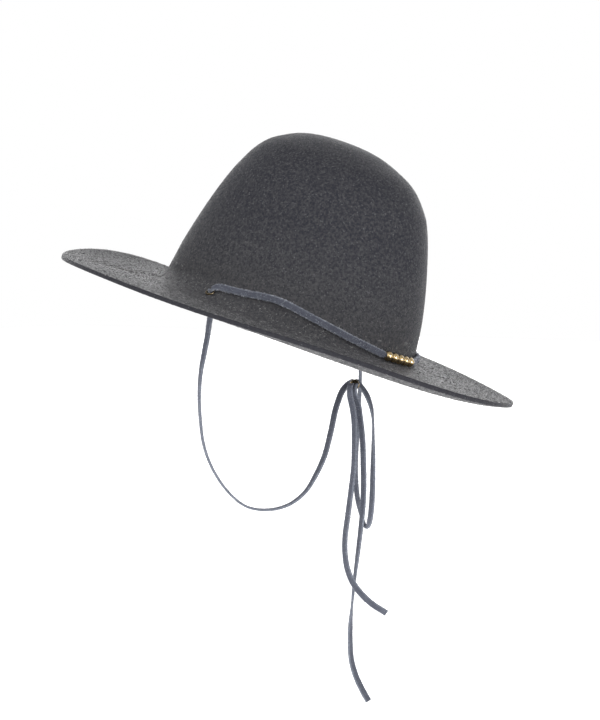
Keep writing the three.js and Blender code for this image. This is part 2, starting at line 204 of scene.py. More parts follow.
class SurfaceMaker(NodeMaker):
    """Adds and links the nodes of one material."""

    def __init__(self, name: str) -> None:
        """Starts a material with the shader alone.

        Args:
            name: The material's name.
        """
        self.material = bpy.data.materials.new(name)
        self.material.use_nodes = True
        super().__init__(self.material.node_tree)

    def dressed(self, inputs: dict[str, object]) -> Material:
        """The material, with these values or patterns on its shader's inputs.

        Args:
            inputs: Values or output sockets, by the name of the input.

        Returns:
            The material.
        """
        shader = self.tree.nodes["Principled BSDF"]
        for name, value in inputs.items():
            self.feed(shader.inputs[name], value)
        return self.material

    def coordinates(self) -> Socket:
        """Object coordinates."""
        return self.add("ShaderNodeTexCoord").outputs["Object"]

    def placed(
        self, vector: Socket, scale: Sequence[float], rotation: Sequence[float] = (0, 0, 0)
    ) -> Socket:
        """Coordinates that are turned and then scaled.

        Args:
            vector: The coordinates to start from.
            scale: A scale for each axis.
            rotation: A turn about each axis, in degrees.

        Returns:
            The new coordinates.
        """
        radians = [math.radians(angle) for angle in rotation]
        turned = self.add("ShaderNodeMapping", {"Vector": vector, "Rotation": radians})
        inputs = {"Vector": turned.outputs[0], "Scale": scale}
        return self.add("ShaderNodeMapping", inputs).outputs[0]

    def painted(self, name: str, weight: float) -> Socket:
        """A number that is painted on the mesh, times a weight."""
        node = self.add("ShaderNodeAttribute", attribute_name=name)
        return self.math("MULTIPLY", node.outputs["Fac"], weight)

    def noise(self, vector: Socket, pattern: Pattern) -> Socket:
        """A noise pattern over its whole range.

        Args:
            vector: The coordinates to read.
            pattern: The pattern.

        Returns:
            The pattern, from 0 to 1.
        """
        inputs = {
            "Vector": vector,
            "Scale": pattern.scale,
            "Detail": pattern.detail,
            "Roughness": pattern.roughness,
        }
        return self.add("ShaderNodeTexNoise", inputs).outputs["Fac"]

    def faded(self, vector: Socket, pattern: Pattern) -> Socket:
        """A noise pattern that fades in over its part of the range."""
        return self.ramp(self.noise(vector, pattern), pattern.low, pattern.high)

    def mix(self, share: object, a: object, b: object) -> Socket:
        """The colour that lies this share of the way from a to b."""
        inputs = {"Factor": share, "A": a, "B": b}
        return self.add("ShaderNodeMix", inputs, data_type="RGBA").outputs["Result"]

    def bump(self, height: Socket, relief: Relief) -> Socket:
        """The surface's normal, tilted by a height pattern."""
        inputs = {"Height": height, "Distance": relief.distance, "Strength": relief.strength}
        return self.add("ShaderNodeBump", inputs).outputs[0]


@dataclass(frozen=True)
class FeltFinish:
    """Charcoal melange wool felt: cool dark wool, warmer pale fibres and a few bright flecks."""

    name: str = "brim_felt"
    dark: Colour = (0.036, 0.037, 0.046, 1)
    pale: Colour = (0.107, 0.106, 0.110, 1)
    fleck: Colour = (0.26, 0.26, 0.27, 1)
    cut: Colour = (0.028, 0.028, 0.036, 1)
    # The painted highlight on the rounded upper corner of the cut edge.
    corner_highlight: Colour = (0.20, 0.20, 0.205, 1)
    # What the tone starts from, and what each pattern adds to it.
    tone: float = -0.1
    matting_tone: float = 0.7
    strand_tone: float = 0.5
    # Painted light and shade by height: how much it lightens the felt low down and darkens the crown
    # high up.
    painted_light_shade_tone: float = 0.35
    # How far the cut edge's colour and the painted corner highlight cover the wool.
    cut_cover: float = 0.75
    corner_highlight_cover: float = 0.6
    matting: Pattern = Pattern(520, 4, 0.62, 0.33, 0.7)
    flecks: Pattern = Pattern(1500, 0, 0.5, 0.76, 0.9)
    fleck_scale: tuple[float, float, float] = (1, 1, 0.5)
    strands: Pattern = Pattern(1, 1, 0.5, 0.5, 0.8)
    strand_scale: tuple[float, float, float] = (1500, 1500, 330)
    # Turns, in degrees, of the strands' patterns.
    directions: tuple[tuple[float, float, float], ...] = (
        (0, 0, 0),
        (90, 0, 40),
        (0, 90, 20),
        (45, 35, 0),
        (-50, 20, 70),
    )
    strand_height: float = 0.35
    relief: Relief = Relief(0.0009, 0.6)
    sheen: float = 0.18
    sheen_roughness: float = 0.2
    sheen_tint: Colour = (0.8, 0.8, 0.82, 1)
    roughness: float = 0.40
    specular: float = 0.03

    def material(self) -> Material:
        """Builds the finish.

        Returns:
            The material.
        """
        make = SurfaceMaker(self.name)
        place = make.coordinates()
        strands = None
        for direction in self.directions:
            strand = make.faded(make.placed(place, self.strand_scale, direction), self.strands)
            strands = make.math("MAXIMUM", strands, strand) if strands else strand
        matting = make.noise(place, self.matting)
        matted = make.ramp(matting, self.matting.low, self.matting.high)
        shade = make.math("MULTIPLY_ADD", matted, self.matting_tone, self.tone)
        shade = make.math("MULTIPLY_ADD", strands, self.strand_tone, shade)
        # Painted light and shade by height: paler low on the felt, darker high on the crown.
        shade = make.math("ADD", make.painted("handled", self.painted_light_shade_tone), shade)
        wool = make.mix(shade, self.dark, self.pale)
        wool = make.mix(make.painted("cut_edge", self.cut_cover), wool, self.cut)
        # Painted highlight on the upper corner of the cut edge.
        wool = make.mix(make.painted("rubbed_corner", self.corner_highlight_cover), wool, self.corner_highlight)
        flecks = make.faded(make.placed(place, self.fleck_scale), self.flecks)
        height = make.math("MULTIPLY_ADD", strands, self.strand_height, matting)
        return make.dressed({
            "Base Color": make.mix(flecks, wool, self.fleck),
            "Roughness": self.roughness,
            "Specular IOR Level": self.specular,
            "Sheen Weight": self.sheen,
            "Sheen Roughness": self.sheen_roughness,
            "Sheen Tint": self.sheen_tint,
            "Normal": make.bump(height, self.relief),
        })


# The crown's felt, which hands polish less than the brim's.
CROWN_FELT = FeltFinish("crown_felt", specular=0.008)


@dataclass(frozen=True)
class FibreFinish:
    """Loose wool fibres or nap, from a dull tone to a bright one."""

    name: str
    dull: Colour
    bright: Colour
    # How the tone changes along the fibres, from dull to bright.
    change: Pattern = Pattern(600, low=0.38, high=0.66)
    roughness: float = 0.75
    specular: float = 0.15

    def material(self) -> Material:
        """Builds the finish.

        Returns:
            The material.
        """
        make = SurfaceMaker(self.name)
        changing = make.faded(make.coordinates(), self.change)
        return make.dressed({
            "Base Color": make.mix(changing, self.dull, self.bright),
            "Roughness": self.roughness,
            "Specular IOR Level": self.specular,
        })


class Fibres(Enum):
    """The finishes of the loose fibres, by what they lie on."""

    # The crown's fibres are darker and the brim's paler, over the same wool: painted shade on the
    # crown and painted light on the brim, for how the light falls on each.
    CROWN = FibreFinish(
        "crown_wool", (0.045, 0.045, 0.055, 1), (0.40, 0.40, 0.405, 1),
        Pattern(600, low=0.48, high=0.74),
    )
    BRIM = FibreFinish(
        "brim_wool", (0.05, 0.05, 0.058, 1), (0.46, 0.455, 0.455, 1),
        Pattern(420, low=0.40, high=0.66),
    )
    CHIN_LACE = FibreFinish("suede_nap", (0.09, 0.095, 0.12, 1), (0.50, 0.52, 0.58, 1))
    CROWN_LACE = FibreFinish("pale_nap", (0.22, 0.23, 0.27, 1), (0.68, 0.70, 0.76, 1))


@dataclass(frozen=True)
class SuedeFinish:
    """Slate suede lace: a short matte nap, paler along the cut edges."""

    face: Colour = (0.085, 0.091, 0.118, 1)
    edge: Colour = (0.24, 0.26, 0.31, 1)
    layer: str = "lace"
    # Where the pale rim starts and is full, as shares of the way from the middle to the edge.
    rim: tuple[float, float] = (0.62, 0.98)
    rim_tone: float = 0.7
    nap: Pattern = Pattern(900, 4, 0.75)
    nap_tone: tuple[float, float] = (0.9, -0.32)
    mottle: Pattern = Pattern(170, 2, 0.6)
    mottle_tone: tuple[float, float] = (0.5, -0.25)
    relief: Relief = Relief(0.0003, 0.7)
    roughness: float = 0.92
    specular: float = 0.2
    sheen: float = 0.35
    sheen_roughness: float = 0.5
    sheen_tint: Colour = (0.75, 0.78, 0.9, 1)

    def material(self) -> Material:
        """Builds the finish.

        Returns:
            The material.
        """
        make = SurfaceMaker("slate_suede")
        place = make.coordinates()
        layer = make.add("ShaderNodeUVMap", uv_map=self.layer).outputs["UV"]
        across = make.add("ShaderNodeSeparateXYZ", {"Vector": layer}).outputs["X"]
        rim = make.math("MULTIPLY", make.ramp(across, *self.rim), self.rim_tone)
        nap = make.noise(place, self.nap)
        mottle = make.math("MULTIPLY_ADD", make.noise(place, self.mottle), *self.mottle_tone)
        shade = make.math("ADD", make.math("MULTIPLY_ADD", nap, *self.nap_tone), rim)
        shade = make.math("ADD", shade, mottle)
        return make.dressed({
            "Base Color": make.mix(shade, self.face, self.edge),
            "Roughness": self.roughness,
            "Specular IOR Level": self.specular,
            "Sheen Weight": self.sheen,
            "Sheen Roughness": self.sheen_roughness,
            "Sheen Tint": self.sheen_tint,
            "Normal": make.bump(nap, self.relief),
        })


@dataclass(frozen=True)
class BrassFinish:
    """Polished yellow brass with faint tarnish and fine wear."""

    name: str = "polished_brass"
    bright: Colour = (0.50, 0.375, 0.20, 1)
    tarnish: Colour = (0.22, 0.16, 0.085, 1)
    stain: Pattern = Pattern(700, 3, 0.6, 0.45, 0.75)
    wear: Pattern = Pattern(3500, 2, 0.6)
    roughness: float = 0.22
    stain_roughness: float = 0.08
    wear_roughness: float = 0.06
    relief: Relief = Relief(0.000004, 0.3)

    def material(self) -> Material:
        """Builds the finish.

        Returns:
            The material.
        """
        make = SurfaceMaker(self.name)
        place = make.coordinates()
        stain = make.faded(place, self.stain)
        wear = make.noise(place, self.wear)
        rough = make.math("MULTIPLY_ADD", stain, self.stain_roughness, self.roughness)
        worn = make.math("MULTIPLY", wear, self.wear_roughness)
        return make.dressed({
            "Base Color": make.mix(stain, self.bright, self.tarnish),
            "Metallic": 1.0,
            "Roughness": make.math("ADD", rough, worn),
            "Normal": make.bump(wear, self.relief),
        })


# The eyelets' brass, duller than the beads'.
EYELET_BRASS = BrassFinish("dull_brass", (0.21, 0.165, 0.105, 1), (0.08, 0.065, 0.045, 1))


def in_scene(name: str, data: bpy.types.ID) -> bpy.types.Object:
    """A new object of this data, linked to the scene.

    Args:
        name: The object's name.
        data: What it shows.

    Returns:
        The object, at the origin and unturned.
    """
    thing = bpy.data.objects.new(name, data)
    bpy.context.scene.collection.objects.link(thing)
    return thing


def mesh_of(name: str, bm: bmesh.types.BMesh) -> bpy.types.Mesh:
    """A new mesh of a bmesh, which is freed here.

    Args:
        name: The mesh's name.
        bm: The bmesh.

    Returns:
        The mesh.
    """
    mesh = bpy.data.meshes.new(name)
    bm.to_mesh(mesh)
    bm.free()
    return mesh


def put_in_order(bm: bmesh.types.BMesh) -> None:
    """Sorts the faces by their three first vertices, so that fibres fall the same way each run.

    Args:
        bm: The mesh, whose faces are sorted.
    """
    bm.verts.index_update()
    count = len(bm.verts)

    def order(face: bmesh.types.BMFace) -> float:
        """A number that no other face has."""
        first, second, third = sorted(vert.index for vert in face.verts)[:3]
        return float((first * count + second) * count + third)

    bm.faces.sort(key=order)


@dataclass(frozen=True)
class Piece:
    """A finished mesh that rides on the part's body in place of a CAD node."""

    thing: bpy.types.Object

    @classmethod
    def from_bmesh(
        cls,
        name: str,
        bm: bmesh.types.BMesh,
        finish: Material,
        slot: Slot,
        replaces: str,
    ) -> Piece:
        """Makes a piece of a mesh in the row's frame.

        Args:
            name: The piece's name.
            bm: Its mesh, which is freed here.
            finish: Its material.
            slot: The record's slot. Not used.
            replaces: The CAD node that it stands for.

        Returns:
            The piece, riding on the part's body.
        """
        put_in_order(bm)
        mesh = mesh_of(name, bm)
        mesh.polygons.foreach_set("use_smooth", [True] * len(mesh.polygons))
        mesh.materials.append(finish)
        thing = in_scene(name, mesh)
        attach(thing, BODY)
        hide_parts(replaces)
        log.info("%s: %d faces", name, len(mesh.polygons))
        return cls(thing)


def settled(thing: bpy.types.Object) -> None:
    """Takes a thing's modifiers into its mesh.

    Args:
        thing: The thing, which keeps its name and place.
    """
    graph = bpy.context.evaluated_depsgraph_get()
    done = bpy.data.meshes.new_from_object(thing.evaluated_get(graph))
    thing.modifiers.clear()
    thing.data, before = done, thing.data
    bpy.data.meshes.remove(before)


@dataclass(frozen=True)
class Fuzz:
    """Loose fibres on a surface, each a slim closed spindle that half sinks into it."""

    length: float = 0.0024
    thick: float = 0.00013
    density: float = 400_000.0
    # How steeply fibres stand off the surface, at most, and how much their size varies.
    rise: float = math.radians(7)
    smallest: float = 0.5
    largest: float = 1.3
    seed: int = 3
    # A number painted on the surface that thins the fibres out, if any.
    where: str = ""

    def fibre(self, finish: Material) -> bpy.types.Object:
        """One fibre that lies along X.

        Args:
            finish: The fibre's material.

        Returns:
            The fibre.
        """
        bm = bmesh.new()
        bmesh.ops.create_uvsphere(bm, u_segments=3, v_segments=2, radius=1)
        slim = (self.thick / 2, self.thick / 2, self.length / 2)
        bmesh.ops.scale(bm, verts=bm.verts[:], vec=slim)
        bm.transform(Matrix.Rotation(math.pi / 2, 4, "Y"))
        mesh = mesh_of("loose_fibre", bm)
        mesh.materials.append(finish)
        return in_scene("loose_fibre", mesh)

    def grow(self, thing: bpy.types.Object, finish: Material, keep: bool) -> None:
        """Grows the fibres on a thing.

        Args:
            thing: The thing, whose mesh is changed.
            finish: The fibres' material.
            keep: Whether the thing's own surface stays in its mesh.
        """
        fibre = self.fibre(finish)
        modifier = thing.modifiers.new("fuzz", "NODES")
        modifier.node_group = self.recipe(fibre, keep)
        settled(thing)
        bpy.data.node_groups.remove(bpy.data.node_groups["fuzz"])
        template = fibre.data
        bpy.data.objects.remove(fibre)
        bpy.data.meshes.remove(template)

    def recipe(self, fibre: bpy.types.Object, keep: bool) -> bpy.types.NodeTree:
        """The geometry nodes that scatter, turn and size the fibres.

        Args:
            fibre: The fibre to scatter.
            keep: Whether the surface stays too.

        Returns:
            The node tree.
        """
        make = NodeMaker(bpy.data.node_groups.new("fuzz", "GeometryNodeTree"))
        for way in ("INPUT", "OUTPUT"):
            make.tree.interface.new_socket(
                "Geometry", in_out=way, socket_type="NodeSocketGeometry"
            )
        surface = make.add("NodeGroupInput").outputs[0]
        density = self.density
        if self.where:
            painted = make.add("GeometryNodeInputNamedAttribute", {"Name": self.where})
            density = make.math("MULTIPLY", painted.outputs["Attribute"], self.density)
        points = make.add(
            "GeometryNodeDistributePointsOnFaces",
            {"Mesh": surface, "Density": density, "Seed": self.seed},
        )
        lay = make.add(
            "FunctionNodeRandomValue",
            {"Min": (-math.pi, -self.rise, -math.pi), "Max": (math.pi, self.rise, math.pi)},
            data_type="FLOAT_VECTOR",
        )
        turn = make.add(
            "FunctionNodeRotateRotation",
            {"Rotation": points.outputs["Rotation"], "Rotate By": lay.outputs["Value"]},
            rotation_space="LOCAL",
        )
        size = make.add("FunctionNodeRandomValue", {2: self.smallest, 3: self.largest})
        shape = make.add("GeometryNodeObjectInfo", {"Object": fibre})
        placed = make.add("GeometryNodeInstanceOnPoints", {
            "Points": points.outputs["Points"],
            "Instance": shape.outputs["Geometry"],
            "Rotation": turn.outputs["Rotation"],
            "Scale": size.outputs[1],
        })
        made = make.add("GeometryNodeRealizeInstances", {"Geometry": placed.outputs["Instances"]})
        joined = make.add("GeometryNodeJoinGeometry", {"Geometry": made.outputs["Geometry"]})
        if keep:
            make.feed(joined.inputs["Geometry"], surface)
        make.add("NodeGroupOutput", {0: joined.outputs["Geometry"]})
        return make.tree


def close_and_orient(bm: bmesh.types.BMesh) -> None:
    """Merges doubled vertices and turns every face outwards.

    Args:
        bm: The mesh, which is changed.
    """
    bmesh.ops.remove_doubles(bm, verts=bm.verts[:], dist=MERGED)
    bmesh.ops.recalc_face_normals(bm, faces=bm.faces[:])


def spun(outline: Iterable[tuple[float, float]], steps: int, closed: bool) -> bmesh.types.BMesh:
    """An outline spun round +Z.

    Args:
        outline: Points as half-width and height.
        steps: Facets in the full turn.
        closed: Whether the outline closes on itself, or ends on the axis.

    Returns:
        A closed mesh.
    """
    bm = bmesh.new()
    points = [bm.verts.new((0, -side, height)) for side, height in outline]
    pairs = list(zip(points, points[1:]))
    if closed:
        pairs.append((points[-1], points[0]))
    edges = [bm.edges.new(pair) for pair in pairs]
    bmesh.ops.spin(
        bm, geom=points + edges, axis=(0, 0, 1), cent=(0, 0, 0), angle=2 * math.pi,
        steps=steps, use_merge=True,
    )
    close_and_orient(bm)
    return bm


def uniform_spline(points: Sequence[Vector], along: float) -> Vector:
    """The point this share of the way along an even Catmull-Rom spline.

    Args:
        points: The points that it passes through.
        along: The share, from 0 to 1.

    Returns:
        The point.
    """
    place = along * (len(points) - 1)
    start = min(int(place), len(points) - 2)
    share = place - start
    before = points[max(start - 1, 0)]
    after = points[min(start + 2, len(points) - 1)]
    leave = (points[start + 1] - before) / 2
    arrive = (after - points[start]) / 2
    return hermite(points[start], points[start + 1], leave, arrive, share)


def hermite(a: Vector, b: Vector, leave: Vector, arrive: Vector, share: float) -> Vector:
    """A point of the cubic from a to b with the given tangents.

    Args:
        a: Where it starts.
        b: Where it ends.
        leave: Its tangent at the start.
        arrive: Its tangent at the end.
        share: How far along the point lies.

    Returns:
        The point.
    """
    cube = 2 * a - 2 * b + leave + arrive
    square = 3 * b - 3 * a - 2 * leave - arrive
    return ((cube * share + square) * share + leave) * share + a


# The height at which the crown's felt gives way to the brim's, how unevenly, and how finely so.
FOOT_HEIGHT = 0.016
FOOT_UNEVEN = 0.012
FOOT_SCALE = 400


def above_foot(place: Vector) -> bool:
    """Whether a place in the hat's own frame is crown, by an uneven line, so that none shows."""
    return place.z > FOOT_HEIGHT + FOOT_UNEVEN * noise.noise(place * FOOT_SCALE)


class Region(Enum):
    """A region of the felt, with the loose fibres that it carries."""

    CROWN = Fuzz(0.0024, 0.00010, 410_000.0, math.radians(7), seed=3)
    BRIM = Fuzz(0.0027, 0.00022, 400_000.0, math.radians(14), seed=5)
    UNDERSIDE = Fuzz(0.0027, 0.00022, 400_000.0, math.radians(14), seed=7)
    INSIDE = Fuzz(0.0024, 0.00013, 150_000.0, math.radians(7), seed=9)

    @classmethod
    def of(cls, face: bmesh.types.BMFace, back: Matrix) -> Region:
        """The region of a face, with the way back to the hat's own frame.

        Args:
            face: The face, in the row's frame.
            back: The way back to the hat's own frame.

        Returns:
            The region that it lies in.
        """
        centre = back @ face.calc_center_median()
        outward = (back.to_3x3() @ face.normal).dot(centre + Vector((0, 0, 1))) > 0
        if above_foot(centre):
            return cls.CROWN if outward else cls.INSIDE
        return cls.BRIM if outward else cls.UNDERSIDE


@dataclass
class FeltHat:
    """The felt body: an open round crown, a hollow round its foot and a wide waved brim."""

    oval_side: float = 0.088
    oval_longer: float = 0.017
    brim_side: float = 0.1562
    brim_longer: float = 0.0273
    edge_round: float = 0.0006
    # The cut edge swells by this much on each face, over this width.
    edge_swell: float = 0.00018
    swell_width: float = 0.007
    # The dark cut edge starts by this share of the edge's rounding.
    cut_from: float = 0.3
    # No loose fibres grow where the cut edge is painted by more than this.
    bare_from: float = 0.3
    # Painted light and shade: the felt is painted paler below this height, over this fade, and painted
    # darker above it, at most so.
    painted_paler_below: float = 0.055
    painted_light_fade: float = 0.05
    most_painted_shade: float = -0.45
    front_hollow: float = 0.0065
    side_hollow: float = 0.020
    hollow_sweep: float = math.radians(98)
    hollow_side: float = 0.08685
    # The scale and depth of the slow and the quick unevenness, and where the quick one starts.
    slow: tuple[float, float] = (22, 0.00035)
    quick: tuple[float, float] = (70, 0.00008)
    quick_from: tuple[float, float, float] = (3, 5, 7)
    # The share of it at the brim, and the height at which all of it shows.
    even_brim: float = 0.12
    uneven_height: float = 0.03
    # The felt stands off along lines from a point of this height, past a ball of this size.
    middle_height: float = 0.02
    ball: float = 0.1
    ball_share: float = 0.3
    # Height, half-width at the side, and shift towards the back.
    crown: tuple[tuple[float, float, float], ...] = (
        (0.035, 0.0818, -0.0014),
        (0.060, 0.0763, -0.0023),
        (0.085, 0.0694, -0.0027),
        (0.105, 0.0616, -0.0029),
        (0.122, 0.050, -0.0005),
        (0.1317, 0.036, 0.0021),
        (0.1379, 0.020, 0.0040),
        (0.140, 0.0, 0.0046),
    )
    # Waves in a turn, lift of the edge, the turn it lifts towards, and curl of the edge.
    waves: tuple[tuple[int, float, float, float], ...] = (
        (0, -0.0015, 0, 0.0038),
        (1, 0, 0, 0.0064),
        (2, 0.0016, -24, 0.0071),
        (3, 0.0019, -58, -0.0037),
        (4, 0.0012, -6, 0),
        (5, 0.0010, 27, 0),
    )
    steps_round: int = 320
    steps_brim: int = 26
    steps_hollow: int = 14
    steps_crown: int = 56
    steps_edge: int = 3
    hole: float = 0.0030
    hole_reach: float = 0.006
    hole_facets: int = 48

    def shift(self, height: float) -> float:
        """The crown's shift towards the back at a height.

        Args:
            height: A height in the hat's own frame.

        Returns:
            The shift there.
        """
        rows = [(0.0, 0.0)] + [(row[0], row[2]) for row in self.crown]
        for (low, before), (high, after) in zip(rows, rows[1:]):
            if height <= high:
                share = max(0.0, (height - low) / (high - low))
                return lerp(before, after, share)
        return rows[-1][1]

    def shaped(self, side: float, turn: float, height: float) -> Vector:
        """Puts a point of the round outline in its place on the oval, waved hat.

        Args:
            side: How far out the point lies from the axis.
            turn: Its turn.
            height: Its height.

        Returns:
            The point in the hat's own frame.
        """
        out = max(0.0, (side - self.oval_side) / (self.brim_side - self.oval_side))
        if out > 0:
            longer = lerp(self.oval_longer, self.brim_longer, out)
        else:
            longer = self.oval_longer * math.sqrt(max(0.0, side) / self.oval_side)
        lift = sum(w[1] * math.cos(w[0] * (turn - math.radians(w[2]))) for w in self.waves)
        curl = sum(w[3] * math.cos(w[0] * turn) for w in self.waves)
        return Vector((
            side * math.sin(turn),
            self.shift(height) - (side + longer) * math.cos(turn),
            height + (lift - curl) * out + curl * out**3,
        ))

    def hollow(self, radius: float) -> tuple[float, float, float, float]:
        """Middle side, middle height, wall side and wall height of a hollow of a radius.

        Args:
            radius: The hollow's radius.

        Returns:
            The two places, each as side and height.
        """
        height = WALL + radius * (1 - math.cos(self.hollow_sweep))
        side = self.hollow_side + height / math.tan(self.hollow_sweep)
        return side + radius * math.sin(self.hollow_sweep), WALL + radius, side, height

    def hollow_radius(self, turn: float) -> float:
        """The hollow's radius at a turn."""
        return lerp(self.front_hollow, self.side_hollow, math.sin(turn) ** 4)

    def on_felt(self, turn: float, up: float, off: float) -> Vector:
        """A point off the outer felt, so far up the outline from the brim.

        Args:
            turn: The turn.
            up: How far up the outline.
            off: How far off the felt.

        Returns:
            The point in the hat's own frame.
        """
        radius = self.hollow_radius(turn)
        side, height, _, _ = self.hollow(radius)
        angle = min(up / radius, self.hollow_sweep)
        past = max(0.0, up - radius * self.hollow_sweep)
        return self.shaped(
            side - (radius - off) * math.sin(angle) + past * math.cos(angle),
            turn,
            height - (radius - off) * math.cos(angle) + past * math.sin(angle),
        )

    def crown_outline(self, inset: float, radius: float) -> list[tuple[float, float]]:
        """The crown's outline from the brim to the pole, drawn in by an inset.

        Args:
            inset: How far inside the outer face it runs.
            radius: The hollow's radius.

        Returns:
            Points as side and height.
        """
        side, height, wall_side, wall_height = self.hollow(radius)
        points = []
        for step in range(self.steps_hollow):
            angle = step / self.steps_hollow * self.hollow_sweep
            points.append((
                side - (radius + inset) * math.sin(angle),
                height - (radius + inset) * math.cos(angle),
            ))
        rows = [Vector((wall_side, wall_height))] + [Vector((row[1], row[0])) for row in self.crown]
        pole = (len(rows) - 1) / len(rows)
        rows.append(Vector((-rows[-2].x, rows[-2].y)))
        for step in range(self.steps_crown):
            along = step / self.steps_crown * pole
            point = uniform_spline(rows, along)
            below = uniform_spline(rows, max(0, along - NUDGE))
            ahead = (uniform_spline(rows, along + NUDGE) - below).normalized()
            points.append((point.x - inset * ahead.y, point.y + inset * ahead.x))
        points.append((0.0, self.crown[-1][0] - inset))
        return points

    def swell(self, out: float) -> float:
        """How far the felt's face swells, so far out from the axis."""
        share = max(0.0, 1 - (self.brim_side - out) / self.swell_width)
        return self.edge_swell * share * share

    def outline(self, radius: float) -> list[tuple[float, float]]:
        """The whole wall as one outline, up the inside, round the cut edge and back.

        Args:
            radius: The hollow's radius.

        Returns:
            Points as side and height, from pole to pole.
        """
        inner = self.crown_outline(WALL, radius)
        outer = self.crown_outline(0, radius)
        reach = self.brim_side - self.edge_round
        shares = [step / self.steps_brim for step in range(1, self.steps_brim)]
        unders = [lerp(inner[0][0], reach, share) for share in shares]
        tops = [lerp(outer[0][0], reach, share) for share in shares]
        under = [(out, -self.swell(out)) for out in unders]
        top = [(out, WALL + self.swell(out)) for out in tops]
        lower = []
        upper = []
        for step in range(self.steps_edge + 1):
            angle = step / self.steps_edge * math.pi / 2
            out = reach + self.edge_round * math.sin(angle)
            drop = self.edge_round * (1 - math.cos(angle))
            lower.append((out, drop - self.edge_swell))
            upper.append((out, WALL - drop + self.edge_swell))
        return inner[::-1] + under + lower + upper[::-1] + top[::-1] + outer

    def unevenness(self, place: Vector, height: float) -> float:
        """How far the hand-shaped felt stands off the even form.

        Args:
            place: Where the noise is read.
            height: The place's height.

        Returns:
            How far it stands off there.
        """
        share = min(1.0, max(self.even_brim, height / self.uneven_height))
        slow = noise.noise(place * self.slow[0]) * self.slow[1]
        quick = noise.noise(place * self.quick[0] + Vector(self.quick_from)) * self.quick[1]
        return share * (slow + quick)

    def mesh(self) -> bmesh.types.BMesh:
        """Spins, blends and shapes the felt, before its eyelet holes.

        Returns:
            A closed mesh in the hat's own frame.
        """
        bm = spun(self.outline(self.front_hollow), self.steps_round, closed=False)
        self.mark_painted_light_and_cut(bm)
        sides = spun(self.outline(self.side_hollow), self.steps_round, closed=False)
        for front, side in zip(bm.verts, sides.verts):
            turn = math.atan2(front.co.x, -front.co.y)
            share = math.sin(turn) ** 4
            out = lerp(math.hypot(*front.co.xy), math.hypot(*side.co.xy), share)
            front.co = self.shaped(out, turn, lerp(front.co.z, side.co.z, share))
        sides.free()
        bm.normal_update()
        middle = Vector((0, 0, self.middle_height))
        for vert in bm.verts:
            away = (vert.co - middle).normalized()
            place = away * self.ball + vert.co * self.ball_share
            vert.co += away * self.unevenness(place, vert.co.z)
        return bm

    def mark_painted_light_and_cut(self, bm: bmesh.types.BMesh) -> None:
        """Marks the round felt's painted light and shade by height (paler below, darker above), its
        dark cut edge and its painted highlight on the upper corner.

        Args:
            bm: The felt, still round.
        """
        handled = bm.verts.layers.float.new("handled")
        cut = bm.verts.layers.float.new("cut_edge")
        corner_highlight = bm.verts.layers.float.new("rubbed_corner")
        reach = self.brim_side - self.edge_round
        for vert in bm.verts:
            out = math.hypot(*vert.co.xy)
            # Painted light and shade by height: paler towards the brim, darker up the crown.
            share = (self.painted_paler_below - vert.co.z) / self.painted_light_fade
            vert[handled] = min(1.0, max(self.most_painted_shade, share))
            if out > reach + self.edge_round * self.cut_from:
                vert[cut] = 1.0
            elif out > reach - CLOSE and vert.co.z > WALL / 2:
                # Painted highlight on the rounded upper corner of the cut edge.
                vert[corner_highlight] = 1.0

    def eyelet_frame(self, eyelet: Eyelet, turn: float) -> Matrix:
        """The frame of an eyelet: X round the hat, Y up the felt, Z out of it.

        Args:
            eyelet: The eyelets' sizes.
            turn: The eyelet's turn.

        Returns:
            The frame, in the hat's own.
        """
        up = eyelet.slope * self.hollow_radius(turn)
        around = self.on_felt(turn + NUDGE, up, 0) - self.on_felt(turn - NUDGE, up, 0)
        rise = self.on_felt(turn, up + NUDGE, 0) - self.on_felt(turn, up - NUDGE, 0)
        around.normalize()
        out = Matrix.Rotation(-eyelet.tip, 3, around) @ around.cross(rise.normalized())
        out.normalize()
        place = Matrix((around, out.cross(around), out)).transposed().to_4x4()
        place.translation = self.on_felt(turn, up, 0)
        return place

    def build(
        self,
        eyelet: Eyelet,
        finish: Material,
        crown_finish: Material,
    ) -> Piece:
        """Builds the felt with a hole for each eyelet.

        Args:
            eyelet: The eyelets' sizes.
            finish: The brim's felt, which hands have made glossier.
            crown_finish: The crown's felt.

        Returns:
            The felt body.
        """
        bm = self.mesh()
        bm.transform(LEAN)
        piece = Piece.from_bmesh("felt_crown_and_brim", bm, finish, Slot.FELT, "hat_body")
        for side in Side:
            self.cut(piece.thing, LEAN @ self.eyelet_frame(eyelet, side.turn))
        piece.thing.data.materials.append(crown_finish)
        back = LEAN.inverted()
        for face in piece.thing.data.polygons:
            if above_foot(back @ face.center):
                face.material_index = 1
        return piece

    def grow_fibres(
        self,
        felt: bpy.types.Object,
        crown_wool: Material,
        brim_wool: Material,
    ) -> None:
        """Lays loose fibres on each region of the felt but its cut edge, as a piece of its own.

        Args:
            felt: The felt body.
            crown_wool: The fibres' finish on and in the crown.
            brim_wool: The fibres' finish on the brim.
        """
        back = LEAN.inverted()
        for region in Region:
            finish = crown_wool if region in (Region.CROWN, Region.INSIDE) else brim_wool
            bm = bmesh.new()
            bm.from_mesh(felt.data)
            cut = bm.verts.layers.float["cut_edge"]
            others = [
                face for face in bm.faces
                if Region.of(face, back) is not region
                or all(vert[cut] > self.bare_from for vert in face.verts)
            ]
            bmesh.ops.delete(bm, geom=others, context="FACES")
            name = f"loose_fibres_{region.name.lower()}"
            piece = Piece.from_bmesh(name, bm, finish, Slot.FELT, "hat_body")
            region.value.grow(piece.thing, finish, keep=False)
            log.info("%s: %d faces", name, len(piece.thing.data.polygons))

